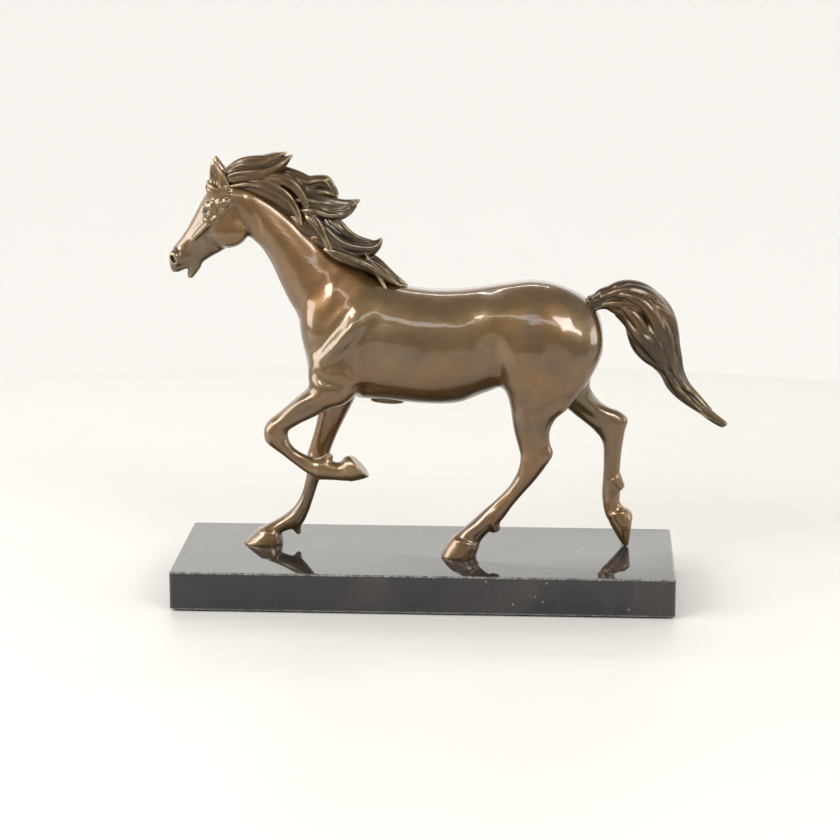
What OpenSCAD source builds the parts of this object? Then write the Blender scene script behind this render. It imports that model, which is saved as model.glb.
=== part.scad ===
// Trotting horse, a hollow lost-wax bronze on a polished stone plinth.
// The origin is the centre of the plinth's underside, +Z is up, the horse faces -X,
// and its near (left) side is -Y.

/* [Plinth] */
// Length of the stone slab, along X
plinth_length = 260; // [250:1:280]
// Width of the stone slab, along Y
plinth_width = 100; // [80:1:120]
// Thickness of the stone slab
plinth_height = 20; // [18:0.5:30]
// Radius of the slab's upright corners
plinth_corner = 2; // [1:0.5:6]

/* [Felt] */
// Thickness of the felt under the slab
felt_height = 1; // [0.5:0.5:2]
// How far the felt stays back from the slab's edges
felt_inset = 3; // [1:0.5:8]

/* [Fixings] */
// Diameter of the studs that hold the hooves down
stud_diameter = 4; // [3:0.5:4]
// How far a stud reaches up into its hoof
stud_grip = 6; // [4:0.5:7]
// Diameter of the recess for the nut under the slab
recess_diameter = 14; // [13:0.5:18]
// Depth of that recess
recess_depth = 8; // [7:0.5:12]
// Width of a nut across its flats
nut_flats = 7; // [6:0.5:8]
// Height of a nut
nut_height = 3.2; // [2:0.1:4]
// Outer diameter of the flat washers
washer_diameter = 12; // [9:0.5:12]
// Thickness of the flat washers
washer_height = 1; // [0.5:0.1:1.5]

/* [Bronze] */
// Wall thickness of the hollow trunk
wall = 3.5; // [2.5:0.5:5]
// Gap left for the weld between two castings
weld_gap = 0.1; // [0.05:0.05:0.15]
// Length of the oval plug in the belly
plug_length = 18; // [14:1:20]
// Width of that plug
plug_width = 11; // [8:1:13]

/* [Hidden] */

BRONZE = "saddlebrown";
BRIGHT_BRONZE = "peru";
STEEL = "silver";
SLICE_SIDES = 24;
SLICE_THICKNESS = 0.4;
REACH = 200;

top_of_felt = felt_height;
top_of_plinth = felt_height + plinth_height;
recess_ceiling = top_of_felt + recess_depth;
lock_washer_height = 1;
lock_washer_diameter = 7.6;
stud_clearance = 0.5;
thread_clearance = 0.05;
stud_bottom = top_of_felt + 1;
washer_bottom = recess_ceiling - washer_height;
lock_washer_bottom = washer_bottom - lock_washer_height;
nut_bottom = lock_washer_bottom - nut_height;

// Places on the plinth where a hoof is held down: off fore, near hind, off hind toe
FIXINGS = [[-87, 10], [17, -10.5], [104.8, 16.5]];

// A form is a list of oval slices along a line. Each slice is
// [x, y, z, half its depth in the XZ plane, half its width across].
TRUNK = [
    [-62, 0, 134, 9, 9], [-58, 0, 134, 18, 14], [-50, 0, 136, 27, 18],
    [-38, 0, 137, 33, 20.5], [-22, 0, 133.5, 32, 22.5], [-4, 0, 131, 30.3, 23.5],
    [14, 0, 131.5, 30.2, 23.5], [32, 0, 136, 27.8, 23], [48, 0, 138.5, 27.3, 22.5],
    [62, 0, 139, 26.3, 22], [74, 0, 138.5, 23.5, 20], [83, 0, 138, 19, 16],
    [89, 0, 137, 10, 9]
];
NECK = [
    [-36, 0, 143, 26, 17], [-45, 0, 152, 24, 16], [-53, 0, 161, 20, 14],
    [-62, 0, 171, 17.5, 11.5], [-71, 0, 182.5, 16, 9.5], [-81, 0, 194, 15.5, 8.5],
    [-90, 0, 201, 15, 8], [-97, 0, 204, 14, 8]
];
HEAD = [
    [-94, 0, 205, 12.6, 7.2], [-101, 0, 202.5, 14.6, 8.1], [-106, 0, 197, 15, 8.3],
    [-112, 0, 190.5, 12.6, 6.8], [-118, 0, 184.5, 10.3, 5.6], [-124, 0, 179, 8.6, 4.8],
    [-128.5, 0, 175.7, 7.4, 5], [-131.6, 0, 174.2, 4.2, 3.6]
];
EAR = [
    [-104.5, -4.5, 209, 3.4, 3.1], [-106.8, -5.1, 216.5, 3.7, 2.7],
    [-108.4, -5.5, 222.5, 2.9, 2.1], [-109.5, -5.8, 228, 0.5, 0.5]
];
LOWER_LIP = [[-118, 0, 174.4, 3.4, 3.3], [-121.5, 0, 170, 2.6, 2.9], [-123.3, 0, 165, 0.6, 1.2]];

NEAR_FORELEG = [
    [-38, -11, 134, 17, 8], [-41, -13, 120, 15, 8], [-46, -14.5, 109, 11.5, 8],
    [-54, -15, 104.5, 8.5, 7], [-62, -15, 99, 6.8, 6], [-69, -15, 94.5, 5.8, 5.2],
    [-74, -15, 91, 6, 5.4], [-77, -15, 87.5, 6.4, 5.6], [-76.5, -15, 83, 6, 5.2],
    [-72, -15, 79, 4.8, 4.6], [-65, -15, 73.5, 4, 3.6], [-59, -15, 69.5, 4.4, 3.8],
    [-54, -15, 68, 5.8, 4.8], [-49.5, -15, 67.5, 4.8, 4.6], [-45, -15, 67.5, 3.8, 3.8],
    [-42, -15, 67.8, 5, 4.6]
];
OFF_FORELEG = [
    [-40, 9, 126, 15, 8], [-44, 10, 110, 13, 7.5], [-49, 10, 97, 9, 6.5],
    [-54, 10, 84, 7, 5.6], [-57, 10, 75, 6.2, 5.4], [-59, 10, 67, 5.4, 5.2],
    [-61, 10, 57, 3.8, 3.8], [-64, 10, 47, 3.8, 3.6], [-67, 10, 39.5, 5, 4.4],
    [-71, 10, 34, 5.6, 4.8], [-77, 10, 32, 3.9, 4.4], [-82, 10, 30.5, 4.4, 5]
];
NEAR_HIND_LEG = [
    [60, -10, 138, 21, 11], [60, -11, 124, 19, 11], [59, -12, 112, 15.5, 9.5],
    [58.5, -12, 102, 12.3, 8], [57.5, -11.5, 92, 9.3, 6.8], [57.5, -11, 84, 8.2, 6],
    [57.5, -11, 77, 8, 5.6], [54, -11, 69, 6.8, 5], [49, -11, 61, 4.8, 4.2],
    [42, -11, 52, 4.2, 3.7], [35.5, -11, 44, 4.8, 4], [30.5, -11, 38, 6, 4.8],
    [25, -11, 33.5, 4.6, 4.6], [21, -11, 31, 5.6, 5.4]
];
OFF_HIND_LEG = [
    [62, 11, 136, 19, 10], [66, 12, 122, 17, 10], [72, 13, 110, 13.5, 8.5],
    [79, 14, 101, 10, 7], [87, 15, 93.5, 8.2, 6], [94, 16, 88, 8, 5.6],
    [98.5, 16, 82, 6.6, 5], [97.5, 16, 73, 4.7, 4.2], [97, 16, 62, 4.3, 3.7],
    [97.5, 16, 54, 5, 4.2], [98.2, 16, 48.5, 5, 4.6], [98.6, 16, 43, 4.2, 4.4],
    [100.5, 16, 38.5, 6.4, 5.6]
];
TAIL = [
    [79, 0, 151, 7, 6], [86, 0, 155, 6.3, 6.5], [94, 0, 157.5, 6.5, 7],
    [102, 0, 155.5, 9.5, 8.5], [110, 0, 149, 12.5, 10], [117, 0, 140, 13.5, 10.5],
    [123, 0, 129, 12, 9], [128.5, 0, 117.5, 9, 7], [135, 0, 108, 6.6, 5.2],
    [143, 0, 100, 5.2, 4.2], [150, 0, 95, 4, 3.2], [156, 0, 91.8, 1.2, 1.2]
];
FORELOCK = [
    [
        [-109, -3, 215, 3, 4], [-104, -2, 220, 4, 5], [-97, -1, 223, 4.2, 5.2],
        [-89, -1, 225.5, 4, 5], [-82, -1, 227.5, 3.6, 4.2], [-76, -1, 230, 2.4, 3],
        [-72.5, -1, 232, 0.6, 0.6]
    ],
    [
        [-100, -4, 215, 3, 3], [-92, -5, 218.5, 3, 3.4], [-84, -5, 220.5, 3, 3.4],
        [-77, -4, 223.5, 2.8, 3], [-73, -4, 227, 2, 2], [-69.5, -4, 230.5, 0.6, 0.6]
    ]
];
MANE_UPPER = [
    [
        [-86, 0, 210, 5, 6], [-77, 0, 214, 5.6, 6], [-68, 0, 217, 5, 5.4],
        [-60, 0, 215.5, 4, 4], [-54.5, 0, 217.5, 2.6, 2.6], [-51.5, 0, 220, 0.6, 0.6]
    ],
    [
        [-78, 3, 204, 5, 5], [-68, 3, 207.5, 5.6, 5], [-58, 2, 209, 5, 4.6],
        [-51, 1, 210.5, 3.6, 3.4], [-46, 0, 211, 0.8, 0.8]
    ]
];
MANE_MIDDLE = [
    [
        [-72, -2, 196, 5, 6], [-62, -2, 200, 5.4, 5.4], [-52, -1, 202.5, 4.8, 4.4],
        [-43, -1, 205, 3, 3], [-35.5, -1, 206.8, 0.6, 0.6]
    ],
    [
        [-66, 3, 190, 4, 5], [-56, 3, 193.5, 4.4, 4.6], [-48, 2, 195.5, 3.8, 4],
        [-41, 1, 196.5, 0.8, 0.8]
    ]
];
MANE_LOWER = [
    [
        [-62, -3, 187, 5, 6], [-52, -4, 188, 5.4, 5.4], [-43, -4, 186, 5, 4.6],
        [-35, -4, 182.5, 4.4, 4], [-28, -4, 181.5, 3.4, 3.4], [-23.8, -4, 186.5, 0.6, 0.6]
    ],
    [
        [-52, -4, 179, 4, 6], [-42, -5, 176.5, 4.4, 5.4], [-32, -5, 173.5, 4.4, 4.8],
        [-22, -4, 169.5, 3.6, 4], [-13, -3, 164.5, 1, 1.4]
    ]
];

// Slices at which each limb, the neck and the head are cut from their neighbour
FORE_CUT = 3;
OFF_FORE_CUT = 2;
HIND_CUT = 3;
OFF_HIND_CUT = 3;
NECK_CUT = 2;
HEAD_CUT = 6;

// Pointed tufts and hock points: [start, radius, tip, tip radius]
NEAR_FORE_TUFT = [[-52, -15, 71], 3.4, [-48.2, -15, 75.2], 1];
OFF_FORE_TUFT = [[-70, 10, 31], 3.4, [-68.6, 10, 26.6], 1];
NEAR_HIND_TUFT = [[32, -11, 36], 3.4, [36, -11, 33.6], 1];
OFF_HIND_TUFT = [[100, 16, 50], 3.6, [103.6, 16, 51], 1];
NEAR_HOCK_POINT = [[61, -11, 79], 4.4, [63.6, -11, 83.6], 2.2];
OFF_HOCK_POINT = [[99, 16, 88], 4.2, [103.4, 16, 91], 2.2];

// Soles of the hooves: centre and [half length, half width]
OFF_FORE_SOLE = [[-87.3, 10, top_of_plinth], [10, 7.6]];
NEAR_HIND_SOLE = [[17.4, -10.6, top_of_plinth], [9.4, 7.6]];
OFF_HIND_TOE = [[104.8, 16.4, top_of_plinth], [3.2, 4.6]];
OFF_HIND_HEEL = [107.2, 16, 37];
OFF_HIND_HEEL_RADIUS = 1.2;
// The near fore hoof is folded under the forearm with its sole to the rear
NEAR_FORE_SOLE = [[-33.5, -15, 69.8], [7.2, 6.4]];
NEAR_FORE_SOLE_TILT = 45;

// Oval plug that closes the core opening in the belly
PLUG_X = -20.5;
PLUG_TOP = 106;
PLUG_BOTTOM = 99.5;

function unit(v) = v / norm(v);

// Direction of a form's line at slice i, from its neighbours
function along(form, i) =
    let (a = form[max(i - 1, 0)], b = form[min(i + 1, len(form) - 1)])
    unit([b[0] - a[0], b[1] - a[1], b[2] - a[2]]);

// One thin oval slice, square to the form's line
module slice(form, i, shrink = 0) {
    s = form[i];
    t = along(form, i);
    u = unit([t[2], 0, -t[0]]);
    v = cross(t, u);
    multmatrix([
        [u[0], v[0], t[0], s[0]],
        [u[1], v[1], t[1], s[1]],
        [u[2], v[2], t[2], s[2]]
    ])
        scale([s[3] - shrink, s[4] - shrink, 1])
            cylinder(r = 1, h = SLICE_THICKNESS, center = true, $fn = SLICE_SIDES);
}

// Solid through the slices first to last of a form
module body_of(form, first = 0, last = 99, shrink = 0) {
    for (i = [first : min(last, len(form) - 1) - 1])
        hull() {
            slice(form, i, shrink);
            slice(form, i + 1, shrink);
        }
}

module locks(forms) {
    for (f = forms)
        body_of(f);
}

// Everything on the far side of slice i of a form, seen from its first slice
module beyond(form, i, gap = 0) {
    s = form[i];
    t = along(form, i);
    u = unit([t[2], 0, -t[0]]);
    v = cross(t, u);
    multmatrix([
        [u[0], v[0], t[0], s[0] + t[0] * gap],
        [u[1], v[1], t[1], s[1] + t[1] * gap],
        [u[2], v[2], t[2], s[2] + t[2] * gap]
    ])
        translate([-REACH / 2, -REACH / 2, 0])
            cube(REACH);
}

module sole(place) {
    translate(place[0])
        scale([place[1][0], place[1][1], 1])
            cylinder(r = 1, h = SLICE_THICKNESS, $fn = SLICE_SIDES);
}

// A hoof between the last slice of a leg and its sole
module hoof(form, place) {
    hull() {
        slice(form, len(form) - 1);
        sole(place);
    }
}

module tuft(shape) {
    hull() {
        translate(shape[0])
            sphere(r = shape[1], $fn = 16);
        translate(shape[2])
            sphere(r = shape[3], $fn = 12);
    }
}

module stud_holes() {
    for (p = FIXINGS)
        translate([p[0], p[1], top_of_plinth - 1])
            cylinder(d = stud_diameter + stud_clearance, h = stud_grip + 1.5, $fn = 32);
}

module near_foreleg_form() {
    body_of(NEAR_FORELEG);
    hull() {
        slice(NEAR_FORELEG, len(NEAR_FORELEG) - 1);
        translate(NEAR_FORE_SOLE[0])
            rotate([0, NEAR_FORE_SOLE_TILT, 0])
                scale([NEAR_FORE_SOLE[1][0], NEAR_FORE_SOLE[1][1], 1])
                    cylinder(r = 1, h = 1, center = true, $fn = SLICE_SIDES);
    }
    tuft(NEAR_FORE_TUFT);
}

module off_foreleg_form() {
    body_of(OFF_FORELEG);
    hoof(OFF_FORELEG, OFF_FORE_SOLE);
    tuft(OFF_FORE_TUFT);
}

module near_hind_leg_form() {
    body_of(NEAR_HIND_LEG);
    hoof(NEAR_HIND_LEG, NEAR_HIND_SOLE);
    tuft(NEAR_HIND_TUFT);
    tuft(NEAR_HOCK_POINT);
}

module off_hind_leg_form() {
    body_of(OFF_HIND_LEG);
    // The hoof stands on its toe, sole to the rear
    hull() {
        slice(OFF_HIND_LEG, len(OFF_HIND_LEG) - 1);
        sole(OFF_HIND_TOE);
        translate(OFF_HIND_HEEL)
            sphere(r = OFF_HIND_HEEL_RADIUS, $fn = 12);
    }
    tuft(OFF_HIND_TUFT);
    tuft(OFF_HOCK_POINT);
}

module limb_stub(form, cut) {
    difference() {
        body_of(form, 0, cut);
        beyond(form, cut);
    }
}

module plug_outline(grow = 0) {
    scale([(plug_length + 2 * grow) / plug_width, 1])
        circle(d = plug_width + 2 * grow * plug_width / plug_length, $fn = 32);
}

module trunk_form() {
    body_of(TRUNK);
    limb_stub(NEAR_FORELEG, FORE_CUT);
    limb_stub(OFF_FORELEG, OFF_FORE_CUT);
    limb_stub(NEAR_HIND_LEG, HIND_CUT);
    limb_stub(OFF_HIND_LEG, OFF_HIND_CUT);
    body_of(NECK, 0, NECK_CUT);
}

module marble_plinth() {
    color("dimgray")
        translate([0, 0, top_of_felt])
            difference() {
                union() {
                    linear_extrude(plinth_height)
                        square([plinth_length - 2 * plinth_corner, plinth_width], center = true);
                    linear_extrude(plinth_height)
                        square([plinth_length, plinth_width - 2 * plinth_corner], center = true);
                    for (x = [-1, 1], y = [-1, 1])
                        translate([
                            x * (plinth_length / 2 - plinth_corner),
                            y * (plinth_width / 2 - plinth_corner),
                            0
                        ])
                            cylinder(r = plinth_corner, h = plinth_height, $fn = 32);
                }
                for (p = FIXINGS)
                    translate([p[0], p[1], -1]) {
                        cylinder(d = stud_diameter + stud_clearance, h = plinth_height + 2, $fn = 32);
                        cylinder(d = recess_diameter, h = recess_depth + 1, $fn = 48);
                    }
            }
}

module felt_pad() {
    color("black")
        translate([-plinth_length / 2 + felt_inset, -plinth_width / 2 + felt_inset, 0])
            cube([plinth_length - 2 * felt_inset, plinth_width - 2 * felt_inset, felt_height]);
}

module torso_casting() {
    color(BRONZE)
        difference() {
            trunk_form();
            beyond(NECK, NECK_CUT);
            body_of(TRUNK, 1, len(TRUNK) - 2, shrink = wall);
            tail_root_socket();
            translate([PLUG_X, 0, PLUG_BOTTOM - 2])
                linear_extrude(PLUG_TOP - PLUG_BOTTOM + 4)
                    plug_outline(weld_gap);
        }
}

module tail_root_socket() {
    body_of(TAIL, 0, 3);
}

module neck_casting() {
    color(BRONZE)
        difference() {
            intersection() {
                body_of(NECK, NECK_CUT - 1);
                beyond(NECK, NECK_CUT, weld_gap);
            }
            beyond(NECK, HEAD_CUT);
        }
}

module ears() {
    body_of(EAR);
    body_of([for (s = EAR) [s[0], -s[1], s[2], s[3], s[4]]]);
}

module head_casting() {
    color(BRIGHT_BRONZE)
        intersection() {
            union() {
                body_of(NECK, HEAD_CUT - 1);
                body_of(HEAD);
                body_of(LOWER_LIP);
                ears();
            }
            beyond(NECK, HEAD_CUT, weld_gap);
        }
}

module forelock_casting() {
    color(BRIGHT_BRONZE)
        difference() {
            locks(FORELOCK);
            body_of(HEAD);
            ears();
            body_of(NECK);
        }
}

module mane_upper_locks() {
    color(BRONZE)
        difference() {
            locks(MANE_UPPER);
            body_of(NECK);
            body_of(HEAD);
            locks(FORELOCK);
        }
}

module mane_middle_locks() {
    color(BRONZE)
        difference() {
            locks(MANE_MIDDLE);
            body_of(NECK);
            locks(MANE_UPPER);
        }
}

module mane_lower_locks() {
    color(BRONZE)
        difference() {
            locks(MANE_LOWER);
            body_of(NECK);
            body_of(TRUNK);
            locks(MANE_MIDDLE);
            locks(MANE_UPPER);
        }
}

module tail_casting() {
    color(BRONZE)
        difference() {
            body_of(TAIL);
            body_of(TRUNK, 1, len(TRUNK) - 2, shrink = wall);
        }
}

module near_foreleg() {
    color(BRONZE)
        difference() {
            intersection() {
                near_foreleg_form();
                beyond(NEAR_FORELEG, FORE_CUT, weld_gap);
            }
            body_of(TRUNK);
        }
}

module off_foreleg() {
    color(BRONZE)
        difference() {
            intersection() {
                off_foreleg_form();
                beyond(OFF_FORELEG, OFF_FORE_CUT, weld_gap);
            }
            body_of(TRUNK);
            stud_holes();
        }
}

module near_hind_leg() {
    color(BRONZE)
        difference() {
            intersection() {
                near_hind_leg_form();
                beyond(NEAR_HIND_LEG, HIND_CUT, weld_gap);
            }
            body_of(TRUNK);
            stud_holes();
        }
}

module off_hind_leg() {
    color(BRONZE)
        difference() {
            intersection() {
                off_hind_leg_form();
                beyond(OFF_HIND_LEG, OFF_HIND_CUT, weld_gap);
            }
            body_of(TRUNK);
            stud_holes();
        }
}

module belly_core_plug() {
    color("sienna")
        translate([PLUG_X, 0, PLUG_BOTTOM])
            linear_extrude(PLUG_TOP - PLUG_BOTTOM)
                plug_outline();
}

module mounting_studs() {
    color(STEEL)
        for (p = FIXINGS)
            translate([p[0], p[1], stud_bottom])
                cylinder(d = stud_diameter, h = top_of_plinth + stud_grip - stud_bottom, $fn = 32);
}

module ring(outer, inner, height) {
    difference() {
        cylinder(d = outer, h = height, $fn = 48);
        translate([0, 0, -1])
            cylinder(d = inner, h = height + 2, $fn = 32);
    }
}

module flat_washers() {
    color(STEEL)
        for (p = FIXINGS)
            translate([p[0], p[1], washer_bottom])
                ring(washer_diameter, stud_diameter + 2 * thread_clearance, washer_height);
}

module lock_washers() {
    color(STEEL)
        for (p = FIXINGS)
            translate([p[0], p[1], lock_washer_bottom])
                ring(lock_washer_diameter, stud_diameter + 2 * thread_clearance, lock_washer_height);
}

module hex_nuts() {
    color(STEEL)
        for (p = FIXINGS)
            translate([p[0], p[1], nut_bottom])
                difference() {
                    cylinder(d = nut_flats / cos(30), h = nut_height, $fn = 6);
                    translate([0, 0, -1])
                        cylinder(d = stud_diameter + 2 * thread_clearance, h = nut_height + 2, $fn = 32);
                }
}

marble_plinth();
felt_pad();
torso_casting();
neck_casting();
head_casting();
forelock_casting();
mane_upper_locks();
mane_middle_locks();
mane_lower_locks();
tail_casting();
near_foreleg();
off_foreleg();
near_hind_leg();
off_hind_leg();
belly_core_plug();
mounting_studs();
flat_washers();
lock_washers();
hex_nuts();
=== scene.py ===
"""Bronze horse on a marble plinth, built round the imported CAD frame.

All modelling is in millimetres in the row frame (+Z up, the horse faces -X, its near side is -Y).
Meshes become metres when they are made into Blender objects.
"""

import math

import bmesh
import bpy
import numpy as np
import openvdb as vdb
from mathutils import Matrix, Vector


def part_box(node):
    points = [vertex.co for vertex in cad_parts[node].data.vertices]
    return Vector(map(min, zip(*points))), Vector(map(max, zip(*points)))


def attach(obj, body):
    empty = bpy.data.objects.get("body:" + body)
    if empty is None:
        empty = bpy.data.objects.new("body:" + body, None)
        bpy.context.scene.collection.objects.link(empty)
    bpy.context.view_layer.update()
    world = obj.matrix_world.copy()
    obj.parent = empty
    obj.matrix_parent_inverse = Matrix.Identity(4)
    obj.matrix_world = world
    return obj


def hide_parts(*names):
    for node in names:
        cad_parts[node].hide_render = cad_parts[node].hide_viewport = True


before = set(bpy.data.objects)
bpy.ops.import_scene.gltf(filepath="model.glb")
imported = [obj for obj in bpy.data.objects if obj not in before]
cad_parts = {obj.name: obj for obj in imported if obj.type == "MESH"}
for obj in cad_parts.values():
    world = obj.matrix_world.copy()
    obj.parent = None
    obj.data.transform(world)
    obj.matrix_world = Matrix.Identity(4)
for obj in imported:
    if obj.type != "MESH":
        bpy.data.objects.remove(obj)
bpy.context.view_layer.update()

MM = 0.001      # metres in a millimetre
FAR = 20.0      # distance held by cells away from every form, in mm
BAND = 8.5      # how far round a widely blended form its distances are known, in mm
SIDES = 56      # points round a section of the body


# ---------------------------------------------------------------- forms as closed meshes

def spline(rows, per=8):
    """Catmull-Rom curve through rows of numbers, per samples to a stretch."""
    p = np.array(rows, float)
    p = np.vstack([2 * p[0] - p[1], p, 2 * p[-1] - p[-2]])
    t = np.linspace(0, 1, per, endpoint=False)[:, None]
    out = []
    for a, b, c, d in zip(p[:-3], p[1:-2], p[2:-1], p[3:]):
        out.append(0.5 * (2 * b + (c - a) * t + (2 * a - 5 * b + 4 * c - d) * t**2
                          + (3 * b - 3 * c + d - a) * t**3))
    out.append(p[-2][None])
    return np.vstack(out)


def unit(v):
    return np.array(v, float) / np.linalg.norm(v)


def units(vectors):
    """Each row of vectors brought to length one."""
    return vectors / np.maximum(np.linalg.norm(vectors, axis=1), 1e-9)[:, None]


def rings_mesh(rings):
    """Closed mesh over m rings of n points each, with a fan of triangles at either end."""
    m, n = rings.shape[:2]
    verts = np.vstack([rings.reshape(-1, 3), rings[0].mean(0)[None], rings[-1].mean(0)[None]])
    i, j = np.meshgrid(np.arange(m - 1), np.arange(n), indexing="ij")
    k = (j + 1) % n
    quads = np.stack([i * n + j, i * n + k, (i + 1) * n + k, (i + 1) * n + j], -1).reshape(-1, 4)
    j = np.arange(n)
    k = (j + 1) % n
    first = np.stack([np.full(n, m * n), k, j], -1)
    last = np.stack([np.full(n, m * n + 1), (m - 1) * n + j, (m - 1) * n + k], -1)
    return verts, quads, np.vstack([first, last])


def turns(sides):
    """Evenly spaced angles round a ring."""
    return np.linspace(0, 2 * np.pi, sides, endpoint=False)


def sections(rows):
    """Middle, half depth vector and half width along rows [front x, front z, back x, back z,
    middle y, half width]."""
    s = spline(rows)
    front = np.stack([s[:, 0], s[:, 4], s[:, 1]], 1)
    back = np.stack([s[:, 2], s[:, 4], s[:, 3]], 1)
    return (front + back) / 2, (front - back) / 2, s[:, 5]


def loft(rows, power=2.0):
    """Rings from section rows. A power over 2 squares the sections up."""
    middle, half, width = sections(rows)
    c, w = np.cos(turns(SIDES)), np.sin(turns(SIDES))
    c = np.sign(c) * np.abs(c) ** (2 / power)
    w = np.sign(w) * np.abs(w) ** (2 / power)
    rings = middle[:, None] + half[:, None] * c[None, :, None]
    rings[:, :, 1] += np.maximum(width, 0.2)[:, None] * w[None]
    return rings


def blob(centre, radii, tilt=0.0):
    """Ellipsoid rings, tilted in the XZ plane by tilt degrees from X towards Z."""
    u = np.linspace(0.02, np.pi - 0.02, 20)
    angle = turns(28)
    x = np.cos(u)[:, None] * np.ones(len(angle)) * radii[0]
    y = np.sin(u)[:, None] * np.cos(angle) * radii[1]
    z = np.sin(u)[:, None] * np.sin(angle) * radii[2]
    t = math.radians(tilt)
    return np.stack([centre[0] + x * math.cos(t) - z * math.sin(t),
                     centre[1] + y,
                     centre[2] + x * math.sin(t) + z * math.cos(t)], -1)


def other_side(rings):
    """The same form on the other side of the middle plane."""
    return rings[:, ::-1] * np.array([1, -1, 1])


def both(rings, blend):
    """A form and its twin on the other side, each with the blend."""
    return [(rings, blend), (other_side(rings), blend)]


# ---------------------------------------------------------------- clay: a distance field

def box_mean(values, reach, axis):
    """Mean over a run of 2 * reach + 1 cells along one axis."""
    pad = [(0, 0)] * 3
    pad[axis] = (reach + 1, reach)
    total = np.cumsum(np.pad(values, pad, mode="edge"), axis=axis, dtype=np.float32)
    n = values.shape[axis]
    ahead = np.take(total, np.arange(2 * reach + 1, 2 * reach + 1 + n), axis=axis)
    behind = np.take(total, np.arange(n), axis=axis)
    return (ahead - behind) / (2 * reach + 1)


def soft_min(a, b, blend):
    """The lesser of two distances, rounded off where they lie within blend of each other."""
    h = np.maximum(blend - np.abs(a - b), 0) / blend
    return np.minimum(a, b) - h * h * blend / 4


class Clay:
    """Signed distances on a regular grid over one window of the model."""

    def __init__(self, low, high, cell):
        self.cell = cell
        self.base = np.floor(np.array(low) / cell).astype(int)
        self.size = np.ceil(np.array(high) / cell).astype(int) - self.base + 1
        self.field = np.full(self.size, FAR, np.float32)

    def distances(self, rings, reach):
        """The part of the window near a form, and the form's distances there. Only the stretch of
        rings that passes the window is meshed, and a form that misses it gives nothing."""
        low = rings.reshape(-1, 3).min(0) - reach
        high = rings.reshape(-1, 3).max(0) + reach
        first = np.maximum(np.floor(low / self.cell).astype(int), self.base)
        last = np.minimum(np.ceil(high / self.cell).astype(int) + 1, self.base + self.size)
        if (last - first <= 0).any():
            return None, None
        window_low = self.base * self.cell - 2 * reach
        window_high = (self.base + self.size) * self.cell + 2 * reach
        near = ((rings.max(1) > window_low) & (rings.min(1) < window_high)).all(1).nonzero()[0]
        if len(near) == 0:
            return None, None
        rings = rings[max(near[0] - 1, 0):near[-1] + 2]
        if len(rings) < 2:
            return None, None
        verts, quads, tris = rings_mesh(rings)
        grid = vdb.FloatGrid.createLevelSetFromPolygons(
            verts.astype(np.float32), triangles=tris.astype(np.uint32), quads=quads.astype(np.uint32),
            transform=vdb.createLinearTransform(voxelSize=self.cell), halfWidth=reach / self.cell)
        local = np.zeros(last - first, np.float32)
        grid.copyToArray(local, ijk=tuple(int(v) for v in first))
        where = tuple(slice(a, b) for a, b in zip(first - self.base, last - self.base))
        return where, local

    def add(self, rings, blend):
        """Joins a form on, with a fillet of about blend."""
        where, d = self.distances(rings, BAND if blend >= 3 else blend + 1.5)
        if where is not None:
            self.field[where] = soft_min(self.field[where], d, blend)

    def cut(self, rings, blend):
        """Takes a form away, with its rim rounded by about blend."""
        where, d = self.distances(rings, blend + 1.5)
        if where is not None:
            self.field[where] = -soft_min(-self.field[where], d, blend)

    def soften(self, radius):
        """Averages the field over about radius."""
        passes = max(1, round(2 * (radius / self.cell) ** 2))
        for _ in range(passes):
            for axis in range(3):
                f = np.moveaxis(self.field, axis, 0)
                f[1:-1] = 0.25 * f[:-2] + 0.5 * f[1:-1] + 0.25 * f[2:]

    def crowding(self, points, radius):
        """How much bronze lies within about radius of each point: half on a flat, more in a fold."""
        solid = np.clip(0.5 - self.field / (2 * self.cell), 0, 1)
        reach = max(1, round(radius / self.cell / 1.6))
        for _ in range(2):
            for axis in range(3):
                solid = box_mean(solid, reach, axis)
        place = points / self.cell - self.base
        first = np.clip(np.floor(place).astype(int), 0, self.size - 2)
        t = np.clip(place - first, 0, 1)
        out = np.zeros(len(points))
        for corner in np.ndindex(2, 2, 2):
            weight = np.prod(np.where(corner, t, 1 - t), axis=1)
            out += weight * solid[tuple((first + corner).T)]
        return out

    def skin(self):
        """The surface as points and quads, in millimetres."""
        grid = vdb.FloatGrid(FAR)
        grid.copyFromArray(self.field, ijk=tuple(int(v) for v in self.base))
        grid.transform = vdb.createLinearTransform(voxelSize=self.cell)
        points, tris, quads = grid.convertToPolygons(isovalue=0.0, adaptivity=0.0)
        return Skin(points.astype(float), quads.astype(np.int64))


STROKE_SOFTNESS = 5.5   # in square mm: the cells are softened until they spread this far


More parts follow.
